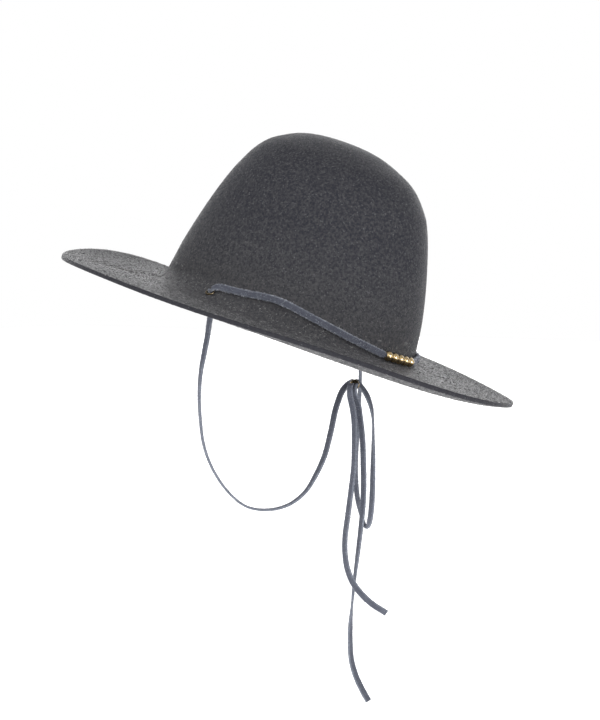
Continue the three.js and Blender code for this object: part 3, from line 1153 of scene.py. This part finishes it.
    def cut(self, felt: bpy.types.Object, place: Matrix) -> None:
        """Cuts one eyelet's hole through the felt at a place.

        Args:
            felt: The felt body, whose mesh is changed.
            place: The hole's frame.
        """
        bm = bmesh.new()
        bmesh.ops.create_cone(
            bm, cap_ends=True, segments=self.hole_facets, radius1=self.hole, radius2=self.hole,
            depth=2 * self.hole_reach, matrix=place,
        )
        mesh = mesh_of("eyelet_hole", bm)
        cutter = in_scene("eyelet_hole", mesh)
        modifier = felt.modifiers.new("eyelet_hole", "BOOLEAN")
        modifier.operation = "DIFFERENCE"
        modifier.solver = "EXACT"
        modifier.object = cutter
        settled(felt)
        bpy.data.objects.remove(cutter)
        bpy.data.meshes.remove(mesh)


@dataclass(frozen=True)
class Eyelet:
    """A brass eyelet: a barrel through the felt and a rolled flange on each face."""

    bore: float = 0.0023
    barrel: float = 0.0027
    flange: float = 0.0036
    lip: float = 0.0008
    slope: float = math.radians(49)
    tip: float = math.radians(10)
    # The share of its width that a lace keeps in the eyelet.
    drawn_in: float = 0.75
    facets: int = 64
    arcs: int = 10

    def outline(self) -> list[tuple[float, float]]:
        """The closed outline: down the bore, round the lower roll, up the barrel and back.

        Returns:
            Points as side and height over the felt.
        """
        top = GAP + self.lip
        bottom = -WALL - GAP - self.lip
        middle = (self.bore + self.flange) / 2
        half = (self.flange - self.bore) / 2
        angles = [math.pi * step / self.arcs for step in range(self.arcs + 1)]
        lower, upper = (
            [
                (middle + sign * half * math.cos(angle), end - sign * self.lip * (1 - math.sin(angle)))
                for angle in angles
            ]
            for sign, end in ((-1, bottom), (1, top))
        )
        return [*lower, (self.barrel, bottom + self.lip), (self.barrel, top - self.lip), *upper]

    def build(self, hat: FeltHat, side: Side, finish: Material) -> Piece:
        """Builds the eyelet at a side of the hat.

        Args:
            hat: The felt hat.
            side: Which eyelet.
            finish: Its brass.

        Returns:
            The eyelet.
        """
        bm = spun(self.outline(), self.facets, closed=True)
        bm.transform(LEAN @ hat.eyelet_frame(self, side.turn))
        word = side.name.lower()
        return Piece.from_bmesh(f"brass_eyelet_{word}", bm, finish, Slot.BRASS, f"eyelet_{word}")


@dataclass(frozen=True)
class DrilledBead:
    """A round brass bead with a drilled hole whose rim is eased."""

    radius: float
    bore: float
    length: float
    facets: int = 56
    arcs: int = 26
    rim: float = 0.00022
    rim_steps: tuple[float, ...] = (0.4, 0.75, 1.0)

    def build(self, name: str, replaces: str, place: Matrix, finish: Material) -> Piece:
        """Builds the bead with its hole along Z of a place.

        Args:
            name: The piece's name.
            replaces: The CAD node that it stands for.
            place: Where it stands.
            finish: Its brass.

        Returns:
            The bead.
        """
        edge = math.asin((self.bore + self.rim) / self.radius)
        reach = self.length / 2 / math.cos(edge)
        outline = []
        for step in range(self.arcs + 1):
            angle = lerp(math.pi - edge, edge, step / self.arcs)
            outline.append((self.radius * math.sin(angle), reach * math.cos(angle)))
        end = self.length / 2
        for sign, shares in ((1, self.rim_steps), (-1, self.rim_steps[::-1])):
            for share in shares:
                angle = share * math.pi / 2
                inward = self.rim * math.sin(angle)
                height = end - self.rim * (1 - math.cos(angle))
                outline.append((self.bore + self.rim - inward, sign * height))
        bm = spun(outline, self.facets, closed=True)
        bm.transform(place)
        return Piece.from_bmesh(name, bm, finish, Slot.BRASS, replaces)


@dataclass(frozen=True)
class Station:
    """A point of a lace's route, the direction of its width, and its share of the full width."""

    at: Vector
    wide: Vector
    width: float = 1.0


@dataclass(frozen=True)
class Ring:
    """A cross-section's place on a lace."""

    at: Vector
    wide: Vector
    thick: Vector


@dataclass
class LaceRoute:
    """A smooth route through stations, at knots that follow their distances."""

    stations: Sequence[Station]
    nudge: float = 1e-3

    def segment(self, start: int) -> tuple[Vector, Vector, Vector, Vector]:
        """The end points and tangents of one stretch.

        Args:
            start: The place of its first station.

        Returns:
            Its ends, then its tangents there.
        """
        places = [station.at for station in self.stations]
        a, b = places[start], places[start + 1]
        before = places[start - 1] if start > 0 else 2 * a - b
        after = places[start + 2] if start + 2 < len(places) else 2 * b - a
        gap_before, gap, gap_after = (
            math.sqrt((q - p).length) for p, q in ((before, a), (a, b), (b, after))
        )
        straight = (b - a) / gap
        leave = (a - before) / gap_before - (b - before) / (gap_before + gap) + straight
        arrive = straight - (after - a) / (gap + gap_after) + (after - b) / gap_after
        return a, b, leave * gap, arrive * gap

    def rings(self, each: int) -> list[Ring]:
        """Cross-sections, so many to each stretch.

        Args:
            each: How many to each stretch.

        Returns:
            The rings, from end to end.
        """
        wides = [station.wide.normalized() for station in self.stations]
        widths = [Vector((station.width, 0)) for station in self.stations]
        last = len(self.stations) - 1
        found = []
        for step in range(last * each + 1):
            start = min(step // each, last - 1)
            share = step / each - start
            stretch = self.segment(start)
            point = hermite(*stretch, share)
            ahead = hermite(*stretch, share + self.nudge) - hermite(*stretch, share - self.nudge)
            ahead.normalize()
            along = (start + share) / last
            wide = uniform_spline(wides, along)
            wide = (wide - ahead * wide.dot(ahead)).normalized()
            scale = min(1.0, uniform_spline(widths, along).x)
            found.append(Ring(point, wide * scale, ahead.cross(wide)))
        return found


@dataclass
class SuedeLace:
    """A flat suede lace with eased corners, cut a little unevenly."""

    width: float = 0.0045
    thick: float = 0.0017
    corner: float = 0.00045
    layer: str = "lace"
    edge: str = "edge"
    corner_steps: int = 4
    flat_steps: tuple[float, ...] = (0.45, 0.0, -0.45)
    # The scale and depth of the cut's slow and quick unevenness.
    cuts: tuple[tuple[float, float], ...] = ((420, 0.00010), (1300, 0.00006))
    # How far out the edge's full nap starts, and the share of it on the faces.
    edge_from: float = 0.8
    face_nap: float = 0.15
    nap: Fuzz = Fuzz(0.0012, 0.00015, 3_500_000.0, math.radians(50), where="edge")

    def section(self) -> list[tuple[float, float]]:
        """The cross-section's points, as across and up.

        Returns:
            The points, from the upper right corner round to the left.
        """
        half = self.width / 2
        rise = self.thick / 2
        points = []
        for sign, start in ((1, 0), (-1, 90), (-1, 180), (1, 270)):
            flip = 1 if start in (0, 90) else -1
            middle = Vector((sign * (half - self.corner), flip * (rise - self.corner)))
            for step in range(self.corner_steps):
                angle = math.radians(start + 90 * step / (self.corner_steps - 1))
                points.append((
                    middle.x + self.corner * math.cos(angle),
                    middle.y + self.corner * math.sin(angle),
                ))
            if start in (0, 180):
                points += [(flip * half * share, flip * rise) for share in self.flat_steps]
        return points

    def ragged(self, ring: Ring, across: float, up: float) -> Vector:
        """A point of the section on a ring, with the cut's unevenness.

        Args:
            ring: The ring.
            across: How far across the lace the point lies.
            up: How far up.

        Returns:
            The point.
        """
        place = ring.at + ring.wide * across + ring.thick * up
        rough = sum(noise.noise(place * scale) * depth for scale, depth in self.cuts)
        across += math.copysign(rough, across)
        grow = 1 + rough / (self.thick / 2)
        return ring.at + ring.wide * across + ring.thick * up * grow

    def mesh(self, rings: Sequence[Ring]) -> bmesh.types.BMesh:
        """Extrudes the section along the rings, with a UV layer across and along the lace.

        Args:
            rings: The rings, from end to end.

        Returns:
            A closed mesh.
        """
        bm = bmesh.new()
        edge = bm.verts.layers.float.new(self.edge)
        section = self.section()
        loop = [bm.verts.new(self.ragged(rings[0], *point)) for point in section]
        start = bm.faces.new(loop)
        edges = list(start.edges)
        outward = [abs(point[0]) / (self.width / 2) for point in section]
        share = {vert: (out, 0.0) for vert, out in zip(loop, outward)}
        length = 0.0
        for before, ring in zip(rings, rings[1:]):
            length += (ring.at - before.at).length
            made = bmesh.ops.extrude_edge_only(bm, edges=edges)["geom"]
            fresh = {item for item in made if isinstance(item, bmesh.types.BMVert)}
            edges = [
                item for item in made
                if isinstance(item, bmesh.types.BMEdge) and fresh.issuperset(item.verts)
            ]
            loop = [self.next_to(vert, fresh) for vert in loop]
            for vert, point, out in zip(loop, section, outward):
                vert.co = self.ragged(ring, *point)
                share[vert] = (out, length)
        bm.faces.new(loop)
        bmesh.ops.recalc_face_normals(bm, faces=bm.faces[:])
        for vert, (across, _) in share.items():
            vert[edge] = 1.0 if across > self.edge_from else self.face_nap
        layer = bm.loops.layers.uv.new(self.layer)
        for face in bm.faces:
            for corner in face.loops:
                corner[layer].uv = share[corner.vert]
        return bm

    @staticmethod
    def next_to(vert: bmesh.types.BMVert, fresh: set[bmesh.types.BMVert]) -> bmesh.types.BMVert:
        """The new vertex that was extruded from a vertex."""
        others = (edge.other_vert(vert) for edge in vert.link_edges)
        return next(other for other in others if other in fresh)


@dataclass(frozen=True)
class Hang:
    """A point of a hanging stretch: across to the viewer's right, toward the viewer, and height.

    `face` turns the lace's width, in degrees, from flat on to the viewer towards edge on.
    """

    across: float
    toward: float
    height: float
    face: float
    width: float = 1.0


@dataclass(frozen=True)
class Lie:
    """A point of a stretch on the felt: its turn in degrees, how far up the outline, and off it.

    `upright` says how far the lace's width leaves the felt's slope for the hat's axis.
    """

    turn: float
    up: float
    off: float = 0.00145
    width: float = 1.0
    upright: float = 0.0


# The right chin lace, from its eyelet to the slide bead.
RIGHT_LOOP = (
    Hang(-0.0526, 0.0644, 0.013, 139),
    Hang(-0.0537, 0.066, 0.005, 135),
    Hang(-0.0552, 0.0665, -0.0058, 135),
    Hang(-0.0576, 0.067, -0.0185, 129),
    Hang(-0.0599, 0.067, -0.0312, 115),
    Hang(-0.061, 0.0665, -0.0482, 106),
    Hang(-0.0602, 0.0655, -0.0653, 102),
    Hang(-0.058, 0.0635, -0.0824, 100),
    Hang(-0.0519, 0.06, -0.0998, 98),
    Hang(-0.0405, 0.054, -0.1174, 96),
    Hang(-0.0279, 0.049, -0.1279, 94),
    Hang(-0.013, 0.044, -0.1308, 90),
    Hang(0.0024, 0.038, -0.1276, 82),
    Hang(0.0137, 0.033, -0.1194, 73),
    Hang(0.0208, 0.029, -0.109, 62),
    Hang(0.0279, 0.0245, -0.0942, 50),
    Hang(0.0326, 0.019, -0.0771, 46),
    Hang(0.0365, 0.012, -0.0601, 40),
    Hang(0.0413, 0.0065, -0.0479, 32),
    Hang(0.0454, 0.0042, -0.043, 20, 0.85),
)
# The same lace from the slide bead to its end.
RIGHT_TAIL = (
    Hang(0.0473, 0.0154, -0.0426, -50, 0.95),
    Hang(0.0466, 0.0169, -0.0460, -36),
    Hang(0.0468, 0.016, -0.0518, -30),
    Hang(0.048, 0.016, -0.057, -32),
    Hang(0.0497, 0.016, -0.0687, -40),
    Hang(0.0499, 0.016, -0.0862, -47),
    Hang(0.0493, 0.016, -0.1036, -51),
    Hang(0.0475, 0.016, -0.1196, -48),
    Hang(0.0451, 0.016, -0.1385, -45),
    Hang(0.0432, 0.016, -0.1531, -47),
    Hang(0.0431, 0.016, -0.1648, -45),
    Hang(0.0452, 0.0165, -0.1778, -36),
    Hang(0.0506, 0.017, -0.1894, -20),
    Hang(0.0614, 0.0175, -0.201, -20),
    Hang(0.0732, 0.018, -0.2087, -24),
)

# The left chin lace, in the same two stretches.
LEFT_LOOP = (
    Hang(0.0544, -0.062, -0.017, -60),
    Hang(0.0562, -0.062, -0.034, -77),
    Hang(0.0559, -0.062, -0.0515, -73),
    Hang(0.0549, -0.062, -0.0681, -69),
    Hang(0.054, -0.061, -0.0862, -66),
    Hang(0.0528, -0.059, -0.1056, -60),
    Hang(0.053, -0.054, -0.1233, -50),
    Hang(0.0546, -0.047, -0.1354, -60),
    Hang(0.057, -0.039, -0.1444, -75),
    Hang(0.06, -0.027, -0.15, -95),
    Hang(0.0619, -0.016, -0.1456, -120),
    Hang(0.063, -0.009, -0.1353, -135),
    Hang(0.0636, -0.004, -0.123, -133),
    Hang(0.0638, -0.001, -0.1095, -128),
    Hang(0.064, 0.001, -0.0961, -116),
    Hang(0.064, 0.0025, -0.0828, -99),
    Hang(0.0637, 0.0035, -0.0689, -85),
    Hang(0.0626, 0.004, -0.0608, -67),
    Hang(0.0594, 0.0043, -0.0514, -46),
    Hang(0.055, 0.0044, -0.0446, -30, 0.8),
)
LEFT_TAIL = (
    Hang(0.0504, 0.0151, -0.0429, 118, 0.95),
    Hang(0.0499, 0.0156, -0.0466, 126),
    Hang(0.0506, 0.0129, -0.0514, 135),
    Hang(0.0525, 0.0118, -0.057, 146),
    Hang(0.0538, 0.0105, -0.0648, 148),
    Hang(0.0559, 0.0095, -0.0823, 140),
    Hang(0.0566, 0.009, -0.0998, 137),
    Hang(0.0568, 0.009, -0.1174, 137),
    Hang(0.0562, 0.009, -0.1334, 132),
    Hang(0.0546, 0.009, -0.1495, 123),
    Hang(0.0525, 0.009, -0.167, 115),
    Hang(0.0503, 0.009, -0.1846, 101),
    Hang(0.0486, 0.009, -0.2022, 90),
    Hang(0.0473, 0.009, -0.2183, 61),
    Hang(0.0472, 0.009, -0.2315, 53),
    Hang(0.0479, 0.009, -0.2432, 46),
    Hang(0.0509, 0.0095, -0.2549, 40),
    Hang(0.0562, 0.01, -0.2665, 32),
    Hang(0.0605, 0.0105, -0.2741, 30),
)

# The crown's lace at the wearer's right, from the eyelet to the beads.
CROWN_LACE_RIGHT = (
    Lie(-90.1, 0.0177, off=0.0026, width=0.8),
    Lie(-89.4, 0.0204, off=0.0029, width=0.9),
    Lie(-88.1, 0.0227, off=0.0022),
    Lie(-85.1, 0.0237, off=0.0015),
    Lie(-80.1, 0.0244),
    Lie(-75.1, 0.0251),
    Lie(-70.1, 0.026),
    Lie(-64, 0.0265),
    Lie(-58, 0.0251),
    Lie(-52, 0.0227),
    Lie(-45, 0.0195),
    Lie(-36.2, 0.0161, off=0.0016),
    Lie(-26.7, 0.0127, off=0.0018),
    Lie(-17.5, 0.0097, off=0.0023, upright=0.3),
    Lie(-13, 0.0076, off=0.0031, upright=0.6),
)
# The beads on it, each a point of the lace too.
CROWN_BEADS = tuple(
    Lie(turn, up, off=0.004, width=0.5, upright=0.8)
    for turn, up in ((-6.9, 0.0043), (-3.1, 0.0037), (0.8, 0.0031), (4.8, 0.0024), (8.9, 0.0017))
)
# The same lace on to the eyelet at the wearer's left.
CROWN_LACE_LEFT = (
    Lie(15.5, 0.004, off=0.0034, upright=1),
    Lie(20, 0.0062, off=0.0027, upright=1),
    Lie(26, 0.008, off=0.0023, upright=1),
    Lie(33, 0.0084, off=0.0023, upright=1),
    Lie(40, 0.009, off=0.0021, upright=0.8),
    Lie(47, 0.0108, off=0.0019, upright=0.5),
    Lie(54, 0.015, off=0.0016),
    Lie(60, 0.0188),
    Lie(66, 0.0222),
    Lie(72, 0.0243),
    Lie(77.6, 0.0247),
    Lie(82, 0.0242),
    Lie(84.6, 0.0236, off=0.0016),
    Lie(86.4, 0.0225, off=0.0023),
    Lie(87.5, 0.0204, off=0.0029, width=0.9),
    Lie(88.1, 0.0177, off=0.0026, width=0.8),
)


# The turn of the upright plane that the chin laces hang along, and the middle of the felt.
HANGING_TURN = math.radians(-50.5)
MIDDLE = -WALL / 2


def hanging_point(across: float, toward: float, height: float) -> Vector:
    """A point of the upright hanging frame, in the row's frame.

    Args:
        across: How far to the viewer's right.
        toward: How far toward the viewer.
        height: The height.

    Returns:
        The point.
    """
    return Vector((
        across * math.cos(HANGING_TURN) + toward * math.sin(HANGING_TURN),
        across * math.sin(HANGING_TURN) - toward * math.cos(HANGING_TURN),
        height,
    ))


def hanging_stations(rows: Sequence[Hang]) -> list[Station]:
    """Stations of a hanging stretch, each with its width turned about the stretch there.

    Args:
        rows: The stretch's points.

    Returns:
        The stations.
    """
    places = [hanging_point(row.across, row.toward, row.height) for row in rows]
    viewer = hanging_point(0, 1, 0)
    stations = []
    for i, row in enumerate(rows):
        along = places[min(i + 1, len(rows) - 1)] - places[max(i - 1, 0)]
        flat = along.cross(viewer).normalized()
        face = math.radians(row.face)
        wide = flat * math.cos(face) + viewer * math.sin(face)
        stations.append(Station(places[i], wide, row.width))
    return stations


@dataclass(frozen=True)
class CrownBead(DrilledBead):
    """One of the beads on the crown's lace."""

    radius: float = 0.00345
    bore: float = 0.0016
    length: float = 0.0056


@dataclass(frozen=True)
class SlideBead(DrilledBead):
    """The bead that slides on both chin laces, its hole tipped down to its front."""

    radius: float = 0.0035
    bore: float = 0.0026
    length: float = 0.0054
    across: float = 0.0502
    toward: float = 0.010
    height: float = -0.0429
    pitch: float = math.radians(25)
    split: float = 0.001
    lace_width: float = 0.8
    # How far the laces swell up at the front of the hole.
    swell: float = 0.0007
    # How far outside the hole's ends the laces' stations lie, and the one behind them lies.
    outside: float = 0.0002
    behind: float = 0.0016
    # Behind the hole, the laces part by one in this many.
    parting: float = 3.0

    def stations(self, sense: int) -> list[Station]:
        """Stations through the bead, from behind it to its front, on one side of its axis.

        Args:
            sense: The side of the axis, -1 or 1.

        Returns:
            The stations.
        """
        reach = self.length / 2 + self.outside
        found = []
        for along in (-reach - self.behind, -reach, 0.0, reach):
            apart = self.split + max(0.0, -reach - along) / self.parting
            rise = self.swell * max(0.0, along / reach)
            found.append(Station(
                hanging_point(
                    self.across + sense * apart,
                    self.toward + along * math.cos(self.pitch),
                    self.height - along * math.sin(self.pitch) + rise,
                ),
                hanging_point(0, sense * math.sin(self.pitch), sense * math.cos(self.pitch)),
                self.lace_width,
            ))
        return found

    def place(self) -> Matrix:
        """The bead's frame, its hole along Z.

        Returns:
            The frame.
        """
        axis = hanging_point(0, math.cos(self.pitch), -math.sin(self.pitch))
        turn = axis.to_track_quat("Z", "Y").to_matrix().to_4x4()
        return Matrix.Translation(hanging_point(self.across, self.toward, self.height)) @ turn


@dataclass
class ChinLace(SuedeLace):
    """One hanging lace: out of its eyelet, round its loop, through the slide bead and down."""

    side: Side = Side.RIGHT
    loop: Sequence[Hang] = ()
    tail: Sequence[Hang] = ()
    sense: int = -1
    length: float = 0.5
    rings_each: int = 9
    # How far below the eyelet the lace still runs straight.
    below_eyelet: float = 0.0006

    def stations(self, hat: FeltHat, eyelet: Eyelet, slide: SlideBead) -> list[Station]:
        """The route's stations, in the row's frame.

        Args:
            hat: The felt hat.
            eyelet: The eyelets' sizes.
            slide: The slide bead.

        Returns:
            The stations.
        """
        mouth = -WALL - GAP - eyelet.lip - self.below_eyelet
        return [
            eyelet_station(hat, eyelet, self.side, MIDDLE - GAP / 2, LEAN),
            eyelet_station(hat, eyelet, self.side, mouth, LEAN),
            *hanging_stations(self.loop),
            *slide.stations(self.sense),
            *hanging_stations(self.tail),
        ]

    def build_hanging(
        self,
        hat: FeltHat,
        eyelet: Eyelet,
        slide: SlideBead,
        finish: Material,
        nap_finish: Material,
        with_pieces: Sequence[bpy.types.Object],
    ) -> Piece:
        """Args:
            hat: The felt hat.
            eyelet: The eyelets' sizes.
            slide: The slide bead.
            finish: The suede.
            nap_finish: The suede's loose nap.
            with_pieces: The pieces on this lace. Not used.

        Returns:
            The lace.
        """
        word = self.side.name.lower()
        rings = LaceRoute(self.stations(hat, eyelet, slide)).rings(self.rings_each)
        piece = Piece.from_bmesh(
            f"suede_chin_lace_{word}", self.mesh(rings), finish, Slot.SUEDE, f"chin_lace_{word}"
        )
        self.nap.grow(piece.thing, nap_finish, keep=True)
        path = [ring.at for ring in rings]
        measured = sum((b - a).length for a, b in zip(path, path[1:]))
        log.info("%s: %.4f m long", piece.thing.name, measured)
        return piece


@dataclass
class CrownLace(SuedeLace):
    """The lace round the crown's front, from eyelet to eyelet through five beads."""

    # Rings in each stretch between stations.
    rings_each: int = 8
    face_nap: float = 0.06
    nap: Fuzz = Fuzz(0.0022, 0.0002, 5_000_000.0, math.radians(55), where="edge")
    # How far up and down the felt its slope is read.
    reach_up: float = 0.001
    # Stations just outside the first and last bead: turn, up, and share of the width.
    before_beads: tuple[tuple[float, ...], ...] = ((-9.6, 0.0052, 1.0), (-8.9, 0.0049, 0.5))
    after_beads: tuple[tuple[float, ...], ...] = ((10.9, 0.0017, 0.5), (11.8, 0.002, 0.95))

    def through_beads(self) -> list[Lie]:
        """The route through all the beads, in full width up to the first and from the last.

        Returns:
            The route's points.
        """
        bead = CROWN_BEADS[0]
        before, after = (
            [Lie(turn, up, bead.off, width, bead.upright) for turn, up, width in rows]
            for rows in (self.before_beads, self.after_beads)
        )
        return [*before, *CROWN_BEADS, *after]

    def against_felt(self, hat: FeltHat, lie: Lie) -> Station:
        """A station off the felt, with the lace's width up the felt or nearer upright.

        Args:
            hat: The felt hat.
            lie: The point.

        Returns:
            The station, in the hat's own frame.
        """
        turn = math.radians(lie.turn)
        lower, at, upper = (
            hat.on_felt(turn, lie.up + step, lie.off) for step in (-self.reach_up, 0, self.reach_up)
        )
        wide = (upper - lower).normalized().lerp(Vector((0, 0, 1)), lie.upright)
        return Station(at, wide, lie.width)

    def build_crown(
        self,
        hat: FeltHat,
        eyelet: Eyelet,
        finish: Material,
        nap_finish: Material,
    ) -> Piece:
        """Builds the lace in the hat's own frame, then leans it with the hat.

        Args:
            hat: The felt hat.
            eyelet: The eyelets' sizes.
            finish: The suede.
            nap_finish: The suede's loose nap.

        Returns:
            The lace.
        """
        top = GAP + eyelet.lip
        upright = Matrix.Identity(4)
        heights = (MIDDLE + GAP / 2, top)
        start = [eyelet_station(hat, eyelet, Side.RIGHT, height, upright) for height in heights]
        end = [eyelet_station(hat, eyelet, Side.LEFT, height, upright) for height in heights[::-1]]
        lies = [*CROWN_LACE_RIGHT, *self.through_beads(), *CROWN_LACE_LEFT]
        middle = [self.against_felt(hat, lie) for lie in lies]
        bm = self.mesh(LaceRoute([*start, *middle, *end]).rings(self.rings_each))
        bm.transform(LEAN)
        piece = Piece.from_bmesh("suede_crown_lace", bm, finish, Slot.SUEDE, "crown_lace")
        self.nap.grow(piece.thing, nap_finish, keep=True)
        return piece

    def bead_places(self, hat: FeltHat) -> list[Matrix]:
        """The frame of each bead, its hole along Z.

        Args:
            hat: The felt hat.

        Returns:
            The beads' frames.
        """
        points = [self.against_felt(hat, lie).at for lie in self.through_beads()[1:-1]]
        places = []
        for before, at, after in zip(points, points[1:], points[2:]):
            turn = (after - before).to_track_quat("Z", "Y").to_matrix().to_4x4()
            places.append(LEAN @ Matrix.Translation(at) @ turn)
        return places


def eyelet_station(
    hat: FeltHat, eyelet: Eyelet, side: Side, height: float, lean: Matrix
) -> Station:
    """A station in an eyelet, at a height over the felt's outer face.

    Args:
        hat: The felt hat.
        eyelet: The eyelets' sizes.
        side: Which eyelet.
        height: Height over the felt there.
        lean: The lean to apply.

    Returns:
        The station, its width drawn in by the eyelet.
    """
    place = lean @ hat.eyelet_frame(eyelet, side.turn)
    return Station(place @ Vector((0, 0, height)), place.col[0].to_3d(), eyelet.drawn_in)


def back_vector(azimuth: float, elevation: float) -> Vector:
    """The direction from the hat to a viewer at an azimuth and elevation, in radians."""
    flat = math.cos(elevation)
    return Vector((math.sin(azimuth) * flat, -math.cos(azimuth) * flat, math.sin(elevation)))


def stand_off(
    thing: bpy.types.Object, azimuth: float, elevation: float, distance: float
) -> None:
    """Stands a thing off the hat at an azimuth and elevation, in radians, and aims it there.

    Args:
        thing: The thing.
        azimuth: Its azimuth.
        elevation: Its elevation.
        distance: How far off it stands.
    """
    back = back_vector(azimuth, elevation)
    thing.location = back * distance
    thing.rotation_mode = "QUATERNION"
    thing.rotation_quaternion = (-back).to_track_quat("-Z", "Y")


@dataclass(frozen=True)
class Viewpoint:
    """The camera, at the photograph's angle and distance."""

    azimuth: float = math.radians(-50.5)
    elevation: float = math.radians(2)
    distance: float = 2.0
    lens: float = 137.0
    sensor: float = 36.0
    frame_height: float = 720.0
    frame_width: float = 600.0
    # Where the row's origin lies in the frame, in pixels from its top left corner.
    origin_column: float = 285.6
    origin_row: float = 325.0

    def place(self) -> bpy.types.Object:
        """Puts the camera where the photograph was taken from.

        Returns:
            The camera.
        """
        data = bpy.data.cameras.new("viewpoint")
        data.sensor_width = self.sensor
        data.lens = self.lens
        data.shift_x = (self.frame_width / 2 - self.origin_column) / self.frame_height
        data.shift_y = (self.origin_row - self.frame_height / 2) / self.frame_height
        camera = in_scene("viewpoint", data)
        stand_off(camera, self.azimuth, self.elevation, self.distance)
        bpy.context.scene.camera = camera
        return camera


@dataclass(frozen=True)
class SoftLight:
    """A square soft light: where it stands, what it faces, its size and its power."""

    name: str
    azimuth: float
    elevation: float
    distance: float
    size: float
    power: float
    brass_alone: bool = False

    def place(self, brass: bpy.types.Collection) -> None:
        """Adds the light at its azimuth and elevation, in degrees.

        Args:
            brass: The brass pieces, which are all that a glint lamp lights.
        """
        data = bpy.data.lights.new(self.name, "AREA")
        data.shape = "SQUARE"
        data.size = self.size
        data.energy = self.power
        lamp = in_scene(self.name, data)
        azimuth, elevation = math.radians(self.azimuth), math.radians(self.elevation)
        stand_off(lamp, azimuth, elevation, self.distance)
        if self.brass_alone:
            lamp.light_linking.receiver_collection = brass


@dataclass(frozen=True)
class Studio:
    """A white room: a bright wall behind the hat, a pale floor under it and a soft front light."""

    floor_height: float = -0.30
    floor_half: float = 6.0
    floor_glow: float = 0.8
    floor_colour: Colour = (0.8, 0.8, 0.8, 1)
    floor_roughness: float = 0.9
    ambient: float = 0.74
    wall: float = 3.4
    wall_azimuth: float = math.radians(-60.0)
    wall_elevation: float = math.radians(6.0)
    # How far a direction goes towards the wall where its glow starts and is full.
    wall_fade: tuple[float, float] = (0.7, 1.0)
    # The side from which less light comes, and the share of the light that is left there.
    shade_azimuth: float = math.radians(39.5)
    shade: float = 0.8
    shade_fade: tuple[float, float] = (0.2, 0.9)
    lights: tuple[SoftLight, ...] = (
        SoftLight("front_softbox", -50.5, 25.0, 2.3, 1.2, 10.0),
        SoftLight("glint_lamp", 0.0, 5.0, 2.3, 0.5, 60.0, brass_alone=True),
    )

    def build(self) -> None:
        """Adds the floor, the room's light and the softboxes."""
        scene = bpy.context.scene
        scene.view_settings.view_transform = "Standard"
        scene.world = self.room()
        brass = bpy.data.collections.new("brass_pieces")
        for thing in bpy.data.objects:
            if thing.name.startswith("brass"):
                brass.objects.link(thing)
        for light in self.lights:
            light.place(brass)
        self.floor()

    def room(self) -> bpy.types.World:
        """Light from all round, brightest from the wall behind, on a white background.

        Returns:
            The world.
        """
        world = bpy.data.worlds.new("white_room")
        world.use_nodes = True
        make = NodeMaker(world.node_tree)
        direction = make.add("ShaderNodeTexCoord").outputs["Generated"]
        behind = make.along(direction, -back_vector(self.wall_azimuth, -self.wall_elevation))
        glow = make.ramp(behind, *self.wall_fade, self.ambient, self.wall)
        beside = make.along(direction, back_vector(self.shade_azimuth, 0.0))
        shade = make.ramp(beside, *self.shade_fade, 1.0, self.shade)
        seen = make.add("ShaderNodeMix", {
            "Factor": make.add("ShaderNodeLightPath").outputs["Is Camera Ray"],
            "A": make.math("MULTIPLY", glow, shade),
            "B": 1.0,
        })
        background = make.tree.nodes["Background"]
        make.feed(background.inputs["Color"], WHITE)
        make.feed(background.inputs["Strength"], seen.outputs["Result"])
        return world

    def floor(self) -> None:
        """A pale floor that is clear from below."""
        bm = bmesh.new()
        bmesh.ops.create_grid(
            bm, x_segments=1, y_segments=1, size=self.floor_half,
            matrix=Matrix.Translation((0, 0, self.floor_height)),
        )
        floor = in_scene("pale_floor", mesh_of("pale_floor", bm))
        make = SurfaceMaker("pale_paper")
        material = make.dressed({
            "Base Color": self.floor_colour,
            "Roughness": self.floor_roughness,
            "Emission Color": WHITE,
            "Emission Strength": self.floor_glow,
        })
        shown = make.add("ShaderNodeMixShader", {
            0: make.add("ShaderNodeNewGeometry").outputs["Backfacing"],
            1: make.tree.nodes["Principled BSDF"].outputs[0],
            2: make.add("ShaderNodeBsdfTransparent").outputs[0],
        })
        make.feed(make.tree.nodes["Material Output"].inputs["Surface"], shown.outputs[0])
        floor.data.materials.append(material)


def main() -> None:
    """Builds the camera, the laces, the beads, the felt and the studio."""
    logging.basicConfig(level=logging.INFO, format="%(message)s")
    Viewpoint().place()
    hat = FeltHat()
    eyelet = Eyelet()
    slide = SlideBead()
    felt = FeltFinish().material()
    crown_felt = CROWN_FELT.material()
    fibres = {kind: kind.value.material() for kind in Fibres}
    suede = SuedeFinish().material()
    brass = BrassFinish().material()
    eyelet_brass = EYELET_BRASS.material()
    bead = slide.build("brass_slide_bead", "slide_bead", slide.place(), brass)
    chin_laces = (
        ChinLace(side=Side.RIGHT, loop=RIGHT_LOOP, tail=RIGHT_TAIL, sense=-1, length=0.497),
        ChinLace(side=Side.LEFT, loop=LEFT_LOOP, tail=LEFT_TAIL, sense=1, length=0.528),
    )
    for chin_lace in chin_laces:
        nap = fibres[Fibres.CHIN_LACE]
        chin_lace.build_hanging(hat, eyelet, slide, suede, nap, [bead.thing])
    crown_lace = CrownLace()
    crown_lace.build_crown(hat, eyelet, suede, fibres[Fibres.CROWN_LACE])
    crown_bead = CrownBead()
    for number, place in enumerate(crown_lace.bead_places(hat), start=1):
        crown_bead.build(f"brass_crown_bead_{number}", f"crown_bead_{number}", place, brass)
    for side in Side:
        eyelet.build(hat, side, eyelet_brass)
    body = hat.build(eyelet, felt, crown_felt)
    hat.grow_fibres(body.thing, fibres[Fibres.CROWN], fibres[Fibres.BRIM])
    Studio().build()


if __name__ == "__main__":
    main()
